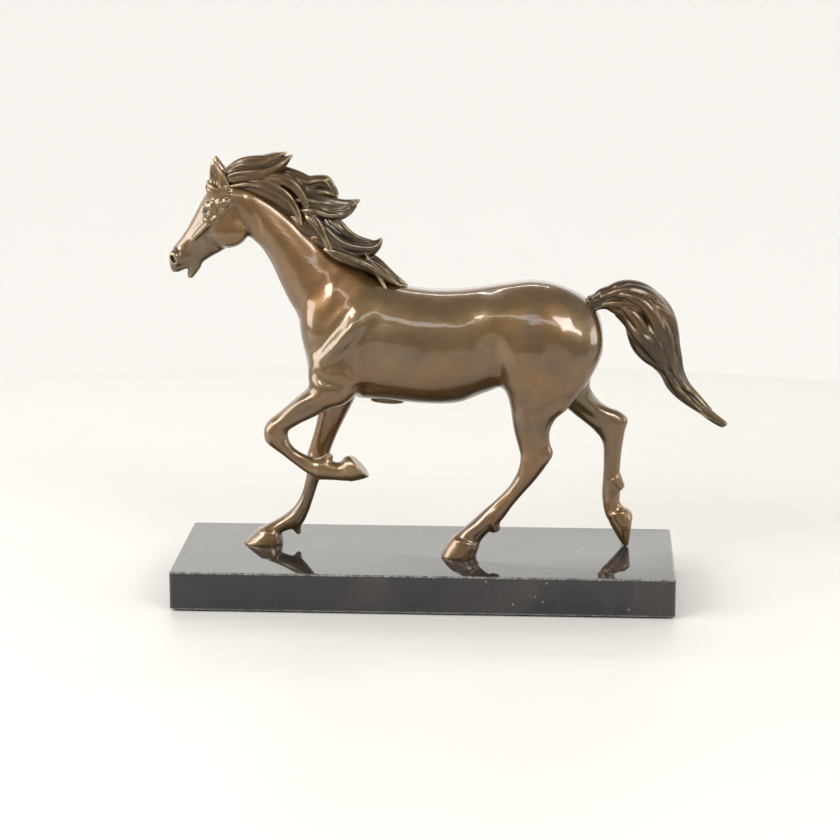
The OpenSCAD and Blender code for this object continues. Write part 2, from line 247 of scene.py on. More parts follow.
class Skin:
    """A surface of quads, with the sculpting moves that work on its points."""

    def __init__(self, points, quads):
        self.p = points
        self.q = quads
        self.edges = np.vstack([quads[:, [0, 1]], quads[:, [1, 2]], quads[:, [2, 3]], quads[:, [3, 0]]])
        self.degree = np.maximum(np.bincount(self.edges[:, 0], minlength=len(points)), 1)

    def spread(self, values):
        """Mean of each point's neighbours."""
        a, b = self.edges[:, 0], self.edges[:, 1]
        out = np.stack([np.bincount(a, values[b, k], len(self.p)) for k in range(values.shape[1])], 1)
        return out / self.degree[:, None]

    def normals(self):
        """Unit normal at each point, from the quads round it."""
        d1 = self.p[self.q[:, 2]] - self.p[self.q[:, 0]]
        d2 = self.p[self.q[:, 3]] - self.p[self.q[:, 1]]
        n = np.cross(d1, d2)
        out = np.zeros_like(self.p)
        for k in range(3):
            for c in range(4):
                out[:, k] += np.bincount(self.q[:, c], n[:, k], len(self.p))
        return units(out)

    def smooth(self, rounds):
        """Evens the points out without shrinking the form."""
        for _ in range(rounds):
            self.p += 0.5 * (self.spread(self.p) - self.p)
            self.p -= 0.52 * (self.spread(self.p) - self.p)

    def carve(self, strokes, cell):
        """Raises and presses the surface along all the strokes at once, then softens them together."""
        normals = self.normals()
        height = np.zeros((len(self.p), 1))
        for path, width, depth, side in strokes:
            self.stroke(height, normals, path, width, depth, side)
        for _ in range(int(STROKE_SOFTNESS / cell ** 2)):
            height = 0.5 * height + 0.5 * self.spread(height)
        self.p += normals * height

    def stroke(self, height, normals, path, width, depth, side):
        """Adds one stroke to the height along a path of [x, z] points. A negative depth presses in.
        side is -1 for the near side, 1 for the off side and 0 for both."""
        line = spline(path, 6)
        pad = 2.5 * width    # beyond this the stroke has faded out
        inside = ((self.p[:, 0] > line[:, 0].min() - pad) & (self.p[:, 0] < line[:, 0].max() + pad)
                  & (self.p[:, 2] > line[:, 1].min() - pad) & (self.p[:, 2] < line[:, 1].max() + pad))
        index = inside.nonzero()[0]
        if len(index) == 0:
            return
        n = normals[index]
        xz = self.p[index][:, [0, 2]]
        best = np.full(len(index), 1e9)
        place = np.zeros(len(index))
        for k in range(len(line) - 1):
            a, d = line[k], line[k + 1] - line[k]
            t = np.clip(((xz - a) @ d) / max(d @ d, 1e-9), 0, 1)
            r = np.hypot(*(xz - a - t[:, None] * d).T)
            closer = r < best
            best[closer] = r[closer]
            place[closer] = (k + t[closer]) / (len(line) - 1)
        taper = np.sin(np.pi * np.clip(place, 0, 1)) ** 0.8
        facing = np.abs(n[:, 1]) if side == 0 else n[:, 1] * side
        weight = np.exp(-(best / width) ** 2) * taper * np.clip((facing - 0.05) / 0.35, 0, 1)
        height[index, 0] += weight * depth


def bend(skin, radius, cell):
    """How far the surface bulges (positive) or folds in (negative) from its own smoothed form, in mm."""
    n = skin.normals()
    base = skin.p.copy()
    for _ in range(max(2, round(1.6 * (radius / cell) ** 2))):
        base += 0.7 * (skin.spread(base) - base)
    value = ((skin.p - base) * n).sum(1)[:, None]
    for _ in range(2):
        value = 0.5 * value + 0.5 * skin.spread(value)
    return value[:, 0]


def ripple(skin, length, amount, seed):
    """Slow uneven ripples of a hand-worked surface."""
    rng = np.random.default_rng(seed)
    height = np.zeros(len(skin.p))
    waves = 28
    for _ in range(waves):
        way = rng.normal(size=3)
        way *= 2 * np.pi / (length * rng.uniform(0.6, 1.8) * np.linalg.norm(way))
        height += np.sin(skin.p @ way + rng.uniform(0, 2 * np.pi))
    skin.p += skin.normals() * (amount * height / math.sqrt(waves / 2))[:, None]


# ---------------------------------------------------------------- the horse's forms
# Rows are [front x, front z, back x, back z, middle y, half width], the two ends of a section.

TRUNK = [
    [-63, 140, -63, 126, 0, 4], [-60.5, 152, -61.5, 119, 0, 10.5], [-55, 160, -56, 111.5, 0, 15],
    [-46, 166, -46, 106, 0, 18.5], [-35, 167, -35, 103.6, 0, 20.5], [-22, 165.5, -22, 102.7, 0, 22.3],
    [-8, 162.4, -8, 101.5, 0, 23.6], [5, 161.2, 5, 100.8, 0, 24], [18, 161.6, 18, 102, 0, 23.8],
    [30, 163, 30, 106.8, 0, 22.6], [42, 165, 42, 111.5, 0, 21.4], [53, 166.3, 53, 114, 0, 21.4],
    [64, 165.3, 64, 115, 0, 21], [74, 162.2, 75, 115, 0, 19], [82, 157.8, 83, 118, 0, 15.5],
    [87.5, 152, 88.5, 124, 0, 11], [90, 145, 90.3, 131, 0, 5.5],
]
NECK = [
    [-22, 158, -50, 122, 0, 9], [-30, 168, -58, 130, 0, 14.5], [-36, 173.6, -63.5, 139, 0, 14.8],
    [-42, 177, -66.4, 146, 0, 13.6], [-52, 184, -71.3, 154, 0, 11.6], [-62, 193, -75.8, 163.5, 0, 10],
    [-72, 202, -80.3, 173.5, 0, 8.8], [-83, 210, -85.4, 181.5, 0, 8.1], [-94, 215.5, -91, 187, 0, 7.8],
    [-103, 217, -95, 191, 0, 7.2],
]
HEAD = [
    [-97, 214.5, -88.5, 194, 0, 6], [-106, 217, -92.8, 189, 0, 8], [-112, 212.8, -95.5, 186, 0, 8.8],
    [-116.3, 206, -101, 182.8, 0, 8], [-120.3, 198.7, -107, 179.6, 0, 6.6],
    [-124, 192, -112, 176.9, 0, 5.3], [-127.5, 187, -116.5, 174, 0, 4.6],
    [-130.6, 183.2, -120.8, 171.8, 0, 4.7], [-133, 179.6, -124.8, 170.6, 0, 5],
    [-133.6, 175.6, -128.6, 168.9, 0, 4.4], [-133.2, 172, -131.6, 168.6, 0, 2.6],
]
JOWL = blob([-102, -4.6, 191.2], [10.6, 5.2, 9.2])
LOWER_LIP = [
    [-122.6, 174.6, -116, 177.4, 0, 3], [-123.8, 171, -116.8, 172.6, 0, 3.2],
    [-124.4, 168, -118.8, 169.2, 0, 2.8], [-124, 165.8, -121.6, 165.8, 0, 1.6],
]
BROW = blob([-110.5, -7, 204], [4.6, 2.4, 2.6], -35)
NOSTRIL_RIM = blob([-130.2, -4, 177], [3, 2.7, 4], 10)
NOSTRIL = blob([-131, -5.4, 176.4], [1.1, 2.6, 2.2], 20)

NEAR_FORELEG = [
    [-56, 138, -34, 134, -8, 5], [-59.6, 124, -31, 121, -12, 9.5], [-60.5, 117, -34, 111, -13.5, 9.6],
    [-60.5, 111.8, -40, 103.8, -14.5, 8.6], [-66, 106.6, -49, 100.3, -15, 7.3],
    [-72, 101.4, -58, 95.8, -15, 6.3], [-77.5, 96.9, -65.5, 92, -15, 5.7],
    [-81.6, 93.4, -70.4, 88.8, -15, 5.7], [-83.7, 88.6, -71.2, 86, -15, 5.8],
    [-83.2, 83.2, -70.7, 83.4, -15, 5.4], [-79.8, 79.7, -69.2, 80.6, -15, 4.7],
    [-73.6, 75, -66.2, 77.9, -15, 3.9], [-66.6, 69.6, -61.2, 75.1, -15, 3.6],
    [-61, 65.6, -57.4, 73.8, -15, 4], [-56.4, 62.7, -52.8, 74.4, -15, 4.8],
    [-51, 62.4, -48.6, 72.6, -15, 4.7], [-46, 62.2, -45.2, 71.8, -15, 4.4],
    [-41.5, 62, -42.8, 73, -15, 4.8], [-36.6, 62.4, -41, 74.4, -15, 5.2],
]
NEAR_FORE_HOOF = [
    [-39, 61.7, -42.6, 74, -15, 5.2], [-35.6, 62.2, -41, 75, -15, 6],
    [-32, 63.2, -39.6, 75.4, -15, 6.5], [-28.4, 64.8, -38.3, 75.2, -15, 6.7],
]
OFF_FORELEG = [
    [-54, 134, -32, 134, 6, 5], [-56.6, 118, -29, 120, 9, 9], [-57, 108, -33, 112, 9.5, 8.6],
    [-57.5, 99, -38, 101, 10, 7.6], [-58, 91, -42.5, 92, 10, 6.6], [-60, 82.5, -46.5, 84, 10, 5.8],
    [-62, 75.5, -50.2, 75, 10, 5.3], [-63.6, 70, -52.4, 68.5, 10, 5.3],
    [-64, 63.5, -54.6, 61.6, 10, 4.7], [-64.6, 57, -57.6, 55, 10, 3.9], [-67, 48, -60.6, 46, 10, 3.6],
    [-70.8, 41.6, -63.4, 38, 10, 4], [-75.6, 37.2, -67.4, 30.8, 10, 4.7],
    [-80.6, 33.8, -74.2, 28.2, 10, 4.4], [-86, 31, -78.4, 26.4, 10, 5], [-90, 28.8, -78.8, 25, 10, 5.4],
]
OFF_FORE_HOOF = [
    [-89.6, 29.4, -78.2, 27.4, 10, 6], [-92.6, 26.6, -77.4, 25.4, 10, 6.9],
    [-95.6, 23.8, -77, 23, 10, 7.5], [-97.8, 21.7, -77, 21.3, 10, 7.8],
    [-97.9, 20.6, -77.4, 20.6, 10, 7.8],
]
NEAR_HIND_LEG = [
    [50, 156, 72, 156, -6, 5], [43.4, 140, 83, 143, -9, 12.4], [43.2, 123, 84, 125, -11, 12.3],
    [43.4, 112, 79.5, 113, -12, 10.6], [44.2, 104, 73.6, 102, -12, 8.8], [45, 96, 67.6, 95.5, -12, 7.2],
    [46.3, 88, 64.8, 89, -11.5, 6.1], [48.3, 80.6, 64.9, 82.4, -11, 5.5],
    [49.6, 75, 66.4, 76.6, -11, 5.4], [49, 69.6, 62.4, 69.6, -11, 5],
    [46.4, 63.4, 56.8, 62.2, -11, 4.4], [42, 57, 51.4, 55.8, -11, 3.9], [35, 50, 45.6, 48.6, -11, 3.6],
    [28.6, 44.3, 40.6, 41.6, -11, 4], [22.6, 38.8, 34.6, 35.8, -11, 4.7],
    [17.6, 34.4, 29.8, 30.2, -11, 4.8], [14.2, 31.4, 28.4, 27, -11, 5.6],
]
NEAR_HIND_HOOF = [
    [14.4, 31.8, 28, 28.6, -11, 6], [12, 28.6, 28.4, 26.2, -11, 6.8], [9.9, 25.2, 27.4, 23.6, -11, 7.3],
    [8.3, 21.8, 26.8, 21.4, -11, 7.6], [8.2, 20.6, 26.6, 20.6, -11, 7.6],
]
OFF_HIND_LEG = [
    [52, 156, 72, 156, 6, 5], [48, 138, 84, 138, 10, 12], [57, 115, 85.4, 117, 12.5, 10],
    [65, 103, 85.6, 107, 14, 8], [74, 94.9, 90.3, 99.8, 15, 6.6], [80.6, 89.4, 95.6, 96.2, 15.5, 5.8],
    [87, 84.2, 101, 94, 16, 5.5], [91.4, 78.6, 105.4, 89.8, 16, 5.1], [92.8, 73, 104, 83, 16, 4.5],
    [92.9, 66, 102.4, 72, 16, 3.9], [92.7, 57, 101.6, 60.5, 16, 3.6], [92.4, 49, 101.5, 54, 16, 4],
    [92.8, 44, 102, 50, 16, 4.6], [93.6, 39.6, 102, 44.6, 16, 4.6], [95, 36, 105, 41, 16, 5.2],
]
OFF_HIND_HOOF = [
    [94.6, 38, 105.8, 41.6, 16, 5.6], [96.8, 32.6, 108, 39.4, 16, 6.4],
    [100.4, 26.2, 108.8, 36.6, 16, 6.8], [103.4, 21.6, 108.2, 32, 16, 5.6],
    [104.4, 20.6, 107.2, 22.4, 16, 4.4],
]


STRAND_SIDES = 14      # points round a strand
HAIR_CELL = 0.34       # mm, as are the tail's cell and both blends
TAIL_CELL = 0.42
LOCK_BLEND = 0.7
TAIL_BLEND = 0.35
LOCK_CORE = 0.8        # thickness of a lock's core against its section
LOCK_TWIST = 0.9       # radians that strands turn over their length
TAIL_TWIST = 2.2
LOCK_WANDER = 0.16     # radians that they stray to either side of that
TAIL_WANDER = 0.36


def tuft(a, b, wide, narrow):
    """A short tuft of hair on a fetlock, from a to b, that narrows from one half width to the other."""
    a, b = np.array(a, float), np.array(b, float)
    way = unit(b - a)
    rows = []
    for t in (0, 0.35, 0.7, 1):
        c = a + (b - a) * t
        r = wide + (narrow - wide) * t
        x, z = way[2] * r, way[0] * r
        rows.append([c[0] - x, c[2] + z, c[0] + x, c[2] - z, c[1], r])
    return loft(rows)


def upright(way):
    """The unit vector square to each way that stays in the XZ plane."""
    return units(np.stack([way[:, 2], np.zeros(len(way)), -way[:, 0]], 1))


def centre_rows(rows):
    """Middle, half depth vector and half width vector along rows [x, y, z, half depth, half width]."""
    s = spline(rows)
    way = np.gradient(s[:, :3], axis=0)
    u = upright(way)
    for k in range(1, len(u)):
        if u[k] @ u[k - 1] < 0:
            u[k] = -u[k]
    v = units(np.cross(way, u))
    half = np.maximum(s[:, 3:5], 0.25)
    return s[:, :3], u * half[:, :1], v * half[:, 1:]


def oval_rings(middle, u, v, sides):
    """An oval of half axes u and v round each middle."""
    angle = turns(sides)
    across = u[:, None] * np.cos(angle)[None, :, None]
    along = v[:, None] * np.sin(angle)[None, :, None]
    return middle[:, None] + across + along


def strand(path):
    """A round tube through [x, y, z, radius] rows."""
    return oval_rings(*centre_rows([[x, y, z, r, r] for x, y, z, r in path]), STRAND_SIDES)


def hair_strand(middle, u, v, away, phase, radius):
    """A round tube that winds round a lock: away from its middle, as a share of u and v, at a phase."""
    line = middle + u * (away * np.cos(phase))[:, None] + v * (away * np.sin(phase))[:, None]
    way = np.gradient(line, axis=0)
    a = upright(way)
    b = units(np.cross(way, a))
    return oval_rings(line, a * radius[:, None], b * radius[:, None], STRAND_SIDES)


def sway(t, rounds, start):
    """A slow wave along t, begun at start."""
    return np.sin(2 * np.pi * (rounds * t + start))


def mean_radius(u, v):
    """The radius of a circle as large as each oval of half axes u and v."""
    return np.sqrt(np.linalg.norm(u, axis=1) * np.linalg.norm(v, axis=1))


def lock(rows, count, seed):
    """A lock of hair: a core and the strands wound round it, slim at the root and closed at the tip."""
    rng = np.random.default_rng(seed)
    middle, u, v = centre_rows(rows)
    t = np.linspace(0, 1, len(middle))
    root = np.clip((t + 0.03) / 0.14, 0.2, 1)[:, None] ** 0.6
    u, v = u * root, v * root
    size = mean_radius(u, v)
    tubes = [oval_rings(middle, u * LOCK_CORE, v * LOCK_CORE, 20)]
    start = rng.uniform(0, 2 * np.pi)
    for k in range(count):
        phase = start + 2 * np.pi * (k + rng.uniform(-0.2, 0.2)) / count
        phase = phase + LOCK_TWIST * t + LOCK_WANDER * sway(t, rng.uniform(1.0, 1.8), rng.uniform(0, 1))
        away = 0.56 + 0.1 * sway(t, 1.3, rng.uniform(0, 1))
        radius = size * rng.uniform(0.38, 0.66)
        end = rng.uniform(0.9, 1.0)
        radius = radius * np.clip((end + 0.04 - t) / 0.18, 0.12, 1) ** 0.7
        tube = hair_strand(middle, u, v, away, phase, np.maximum(radius, 0.25))
        tubes.append(tube[:int(end * (len(t) - 1)) + 1])
    return tubes


EAR = [
    [-109.6, 211, -99.8, 213, -5, 3.2], [-111.2, 217, -101.2, 217.6, -5.4, 3],
    [-111.4, 221.6, -103.6, 222, -5.7, 2.6], [-110.8, 225.6, -106.4, 225.6, -5.9, 1.8],
    [-109.7, 229, -108.8, 228.8, -6, 0.5],
]
EAR_CUP = blob([-108.6, -8.4, 219.6], [2.2, 2.6, 6.4], 12.8)
EYE = blob([-111.4, -7.3, 200.6], [2, 2, 1.8], -35)
UPPER_LID = strand([
    [-114.8, -6.2, 201, 0.7], [-113.4, -7.3, 203.8, 1.4], [-110.4, -8.2, 203.8, 1.4],
    [-107.4, -8.4, 201, 0.8],
])
LOWER_LID = strand([
    [-114.2, -6.4, 200.2, 0.7], [-113, -7.6, 197.6, 1.6], [-110.4, -8, 197.4, 1.2],
    [-107.8, -8.2, 199.4, 0.6],
])
TEMPLE_TUFTS = [
    strand([[-112.4, -5.2, 217.6, 0.8], [-111, -6.4, 214.8, 1.5], [-107.4, -7.6, 213, 1.5],
            [-102, -8, 213.6, 0.7]]),
    strand([[-113.2, -5, 214.6, 0.8], [-111, -6.8, 212, 1.4], [-106.4, -8, 210.6, 1.4],
            [-100.4, -8.2, 211, 0.6]]),
    strand([[-112.8, -5.6, 210.6, 0.6], [-108, -7.6, 208.4, 1.1], [-102.6, -8.2, 208.6, 0.5]]),
]
CHEEK_BONE = strand([
    [-107, -8, 198.6, 1], [-111.6, -7.4, 195.4, 2], [-116.6, -6, 190.4, 1.6], [-121, -4.8, 186, 0.6],
])
TEMPLE_BUMPS = [
    blob([-109.4, -7.4, 206.4], [1.8, 2, 1.8], -25), blob([-106, -8, 206], [2.2, 2, 2.3], -25),
    blob([-102.6, -8, 206.4], [1.9, 1.7, 2.4], 10), blob([-104.8, -8.2, 202.4], [1.5, 1.5, 1.7], 10),
]
EAR_ROOT = blob([-109, -4.6, 213.6], [4.2, 3.2, 3.6], 20)
BUTTOCK = strand([
    [80, -4, 150, 2], [83, -7, 143, 6], [81.4, -9.5, 133, 9.4], [75, -11, 117, 8.4],
    [67, -11.5, 106, 5],
])
HAUNCH = strand([
    [54, -5, 149, 3], [51.5, -9, 141, 9], [50, -11.5, 132, 12.4], [49.5, -12, 117, 9.4],
    [50, -12, 106, 4],
])
OFF_HAUNCH = other_side(strand([[54, -5, 149, 3], [52, -9, 141, 9], [54, -10.6, 132, 10],
                                [60, -11, 122, 6]]))
HIP = blob([39, -13, 145], [13, 7.4, 11], -10)
SHOULDER = strand([
    [-25, -6, 160, 2], [-31, -11.6, 150, 6], [-38, -14.4, 142, 8.4], [-47, -13, 129, 8.6],
    [-52, -12, 120, 4],
])
BREAST = blob([-55, -8, 137], [7.2, 7.6, 11], 12)

# Each form is (rings, blend), with the blend in millimetres. The cuts come after the forms, and the
# details after the cuts.
FORMS = [
    (loft(TRUNK, 2.15), 4),
    (loft(NECK, 2.1), 8),
    *both(SHOULDER, 7),
    *both(BREAST, 6),
    (HAUNCH, 8),
    (OFF_HAUNCH, 8),
    *both(BUTTOCK, 6),
    *both(HIP, 8),
    (loft(NEAR_FORELEG, 2.15), 5),
    (loft(OFF_FORELEG, 2.15), 5),
    (loft(NEAR_HIND_LEG, 2.15), 6),
    (loft(OFF_HIND_LEG, 2.15), 6),
    (loft(HEAD, 2.2), 4),
    *both(JOWL, 1.8),
    (tuft([-52, -15, 71.5], [-48.8, -15, 76.2], 3.4, 1.5), 1),
    (tuft([-71, 10, 33], [-68.3, 10, 26], 3.6, 1.3), 1),
    (tuft([34.4, -11, 41], [37.2, -11, 34.6], 4.6, 2.4), 1.2),
    (tuft([98.4, 16, 58], [102.4, 16, 51.6], 4.4, 2.6), 1.2),
    (loft(NEAR_FORE_HOOF, 2.2), 0.8),
    (loft(OFF_FORE_HOOF, 2.3), 0.8),
    (loft(NEAR_HIND_HOOF, 2.3), 0.8),
    (loft(OFF_HIND_HOOF, 2.3), 0.8),
    *both(BROW, 1.6),
    *both(EAR_ROOT, 1.6),
    *both(CHEEK_BONE, 1.6),
    *both(NOSTRIL_RIM, 1.6),
    (loft(LOWER_LIP), 1.2),
    *both(loft(EAR), 1.2),
]
CUTS = both(NOSTRIL, 0.8) + both(EAR_CUP, 0.6)
DETAILS = both(EYE, 0.3) + both(UPPER_LID, 0.5) + both(LOWER_LID, 0.5)
for rings in TEMPLE_TUFTS + TEMPLE_BUMPS:
    DETAILS += both(rings, 1.1)


def model(low, high, cell):
    """The whole horse as clay, as far as it lies in a window. Every casting is cut from the same
    forms, so that neighbours meet flush."""
    clay = Clay(low, high, cell)
    for rings, blend in FORMS:
        clay.add(rings, blend)
    for rings, blend in CUTS:
        clay.cut(rings, blend)
    for rings, blend in DETAILS:
        clay.add(rings, blend)
    clay.soften(min(0.5, 1.2 * cell))
    return clay


# ---------------------------------------------------------------- cuts between the castings

# Where each casting is welded to its neighbour: a point, and the way from the trunk outwards
NECK_WELD = ([-53, 0, 161], unit([-17, 0, 19]))
HEAD_WELD = ([-88.5, 0, 200], unit([-97, 0, 24]))
NEAR_FORE_WELD = ([-54, -15, 104.5], unit([-16, -0.5, -10]))
OFF_FORE_WELD = ([-49, 10, 97], unit([-10, 0, -26]))
NEAR_HIND_WELD = ([58.5, -12, 102], unit([-1.5, 0.5, -20]))
OFF_HIND_WELD = ([79, 14, 101], unit([15, 2, -16.5]))

ANYWHERE = ([-500, -500, -500], [500, 500, 500])

# Name, CAD node, window low and high, cell, and cuts of (weld, keep what lies beyond it, box that the
# cut works in). All are in millimetres.
CASTINGS = [
    ("torso_bronze", "torso_casting", [-70, -28, 84], [95, 28, 180], 0.64, [
        (NECK_WELD, False, ANYWHERE),
        (NEAR_FORE_WELD, False, ([-90, -40, 0], [-28, -3.5, 118])),
        (OFF_FORE_WELD, False, ([-90, 0, 0], [-28, 40, 106])),
        (NEAR_HIND_WELD, False, ([38, -40, 0], [80, -1, 108])),
        (OFF_HIND_WELD, False, ([60, 1, 0], [100, 40, 116])),
    ]),
    ("neck_bronze", "neck_casting", [-98, -22, 138], [-22, 22, 222], 0.5, [
        (NECK_WELD, True, ANYWHERE), (HEAD_WELD, False, ANYWHERE)]),
    ("head_bronze", "head_casting", [-138, -14, 160], [-82, 14, 232], 0.3, [(HEAD_WELD, True, ANYWHERE)]),
    ("near_foreleg_bronze", "near_foreleg", [-90, -27, 58], [-24, -3, 120], 0.36, [
        (NEAR_FORE_WELD, True, ANYWHERE)]),
    ("off_foreleg_bronze", "off_foreleg", [-102, 0, 19], [-30, 22, 106], 0.4,
     [(OFF_FORE_WELD, True, ANYWHERE)]),
    ("near_hind_bronze", "near_hind_leg", [4, -26, 19], [82, -1, 112], 0.4,
     [(NEAR_HIND_WELD, True, ANYWHERE)]),
    ("off_hind_bronze", "off_hind_leg", [62, 1, 19], [114, 27, 118], 0.4,
     [(OFF_HIND_WELD, True, ANYWHERE)]),
]

# ---------------------------------------------------------------- hair
# Centre lines of [x, y, z, half depth, half width], each with its number of strands.

FORELOCK = [
    ([[-104, -3, 219.5, 1.8, 3], [-100, -3, 222.6, 2.8, 3.6], [-95, -3, 225.4, 3.2, 4],
      [-89, -3, 226.8, 3.4, 4], [-83, -3, 227.4, 3.2, 3.6], [-77, -2.6, 229.6, 2.3, 2.8],
      [-71.6, -2.2, 232, 0.6, 0.8]], 5),
    ([[-104, -4, 217.6, 2.2, 3], [-97, -5, 220.2, 3, 3.4], [-90, -5.4, 221.2, 3.2, 3.6],
      [-83, -5.2, 222, 3.4, 3.4], [-77, -4.6, 224.6, 3.2, 3], [-72.5, -4, 227.6, 2.3, 2.2],
      [-68.4, -3.4, 230.8, 0.6, 0.6]], 5),
    ([[-104, 0, 218, 3, 4], [-94, 0, 223, 4, 5], [-84, 0, 224.5, 4, 4.6], [-76, -1, 227, 3, 3],
      [-71, -1.5, 229.5, 1, 1]], 4),
    ([[-103, 5, 217, 2.5, 3], [-96, 6, 219.5, 3.4, 3.4], [-88, 6, 221.5, 3.6, 3.4],
      [-80, 5, 223.5, 3.2, 3], [-74, 3, 226.5, 2, 2], [-70.5, 1, 229, 0.6, 0.6]], 5),
]
MANE_UPPER = [
    ([[-99, 0, 216, 3, 6], [-90, 0, 214.6, 4.6, 7], [-80, 0, 211.4, 6, 7.4], [-72, 0, 206.6, 6, 7.4],
      [-66, 0, 201.6, 4, 6.4], [-61, 0, 197, 1, 2]], 6),
    ([[-101, -5, 214.5, 2, 3], [-92, -6, 216.4, 2.4, 3], [-84, -6.6, 216, 2.6, 3],
      [-77, -7, 213.6, 2.8, 2.8], [-71, -7.4, 209.4, 2.6, 2.5], [-67, -7.8, 204, 2.2, 2.2],
      [-64.6, -8, 199, 1.3, 1.5], [-63.8, -8, 195.4, 0.5, 0.5]], 4),
    ([[-96, -3, 217.6, 3, 4], [-88, -4, 218, 3.4, 4.4], [-80, -4.4, 218.6, 3.6, 4.2],
      [-72, -4.6, 217.6, 3.6, 4], [-66, -5, 213.5, 3.2, 3.6], [-62.4, -5.8, 207.5, 2.6, 3],
      [-60.6, -6.6, 201.5, 1.8, 2], [-60, -7, 197, 0.6, 0.6]], 5),
    ([[-82, -1, 219.5, 2.6, 4], [-74, -1, 220.6, 3.4, 4.4], [-67, -1.5, 218.4, 3.6, 4.2],
      [-61, -2, 216.8, 2.8, 3.6], [-56, -2.8, 218, 2.2, 2.8], [-51.6, -3, 218.2, 2.1, 2.6],
      [-49.2, -2.8, 215.6, 1.9, 2.2], [-48, -2.4, 212.6, 1.6, 1.8], [-45.6, -2, 209.6, 0.8, 0.9]], 4),
    ([[-66, -1, 215.4, 3, 3.6], [-59, -1, 214.8, 3.4, 2.6], [-53, -1, 215, 3.4, 2],
      [-48.6, -1, 213, 2.6, 2], [-45.6, -1, 210.4, 0.8, 1]], 4),
    ([[-68, -2.4, 213.6, 2.8, 3.6], [-62, -2.6, 212.6, 2.4, 3.2], [-56, -2.8, 211.4, 2.2, 3],
      [-51, -2.6, 211, 1.9, 2.4], [-45.4, -2.4, 209.2, 0.8, 0.9]], 4),
    ([[-84, 1, 207, 5, 5.4], [-74, 1.6, 211, 5.4, 5.2], [-65, 1.5, 211.6, 5, 4.6],
      [-56, 1, 211.6, 4, 3.6], [-50, 1, 210.8, 2.4, 2.6], [-45.6, 0.5, 209.6, 0.8, 0.9]], 5),
    ([[-98, 4.6, 214, 3, 3], [-88, 6, 215.6, 3.6, 3.2], [-79, 6.6, 215, 3.6, 3.2],
      [-70, 6.4, 211, 3.2, 3], [-63, 6.6, 204.6, 2.4, 2.4], [-59.4, 7, 198.6, 0.6, 0.6]], 5),
]
MANE_MIDDLE = [
    ([[-72, 0, 203, 3, 2], [-63, 0, 198, 6, 7.4], [-56, 0, 192, 6, 7.4], [-50, 0, 187, 4, 6],
      [-46, 0, 183, 1, 2]], 6),
    ([[-69, -4, 207.6, 3.4, 4], [-61, -4.6, 207.8, 3.6, 4], [-54, -4.4, 206.6, 3.8, 3.8],
      [-47.6, -3.6, 205.4, 4.2, 3.4], [-42, -2.6, 204.8, 3.8, 2.8], [-38, -2, 205.8, 2.6, 2],
      [-34.2, -1.6, 207.6, 0.7, 0.7]], 4),
    ([[-65, -6, 202, 3, 3.4], [-57, -6.2, 202.6, 3, 3.4], [-50, -5.4, 201, 2.8, 3],
      [-44, -4, 200.6, 2.8, 2.6], [-39.5, -3, 202.4, 2.2, 2], [-36, -2.2, 204.8, 0.8, 0.8]], 4),
    ([[-68, 0, 198, 6, 5.6], [-58, 0, 202, 6, 5], [-49, 0, 203, 4.8, 4], [-42, -0.6, 204.6, 2.6, 2.4],
      [-36.5, -1.2, 206.4, 0.8, 0.8]], 4),
    ([[-72, 5.6, 203, 3, 3], [-61, 6.4, 203.4, 3.6, 3.2], [-52, 5.4, 201, 3.2, 3],
      [-45, 3.6, 199.5, 2.6, 2.4], [-40, 2.6, 200.6, 0.8, 0.8]], 4),
    ([[-62, -7, 201, 2.6, 2.8], [-57, -7.8, 196.4, 2.8, 2.6], [-53, -8.4, 190.6, 2.1, 2.2],
      [-50, -9, 185, 1.4, 1.6], [-47.2, -9.6, 179.4, 0.5, 0.6]], 4),
]
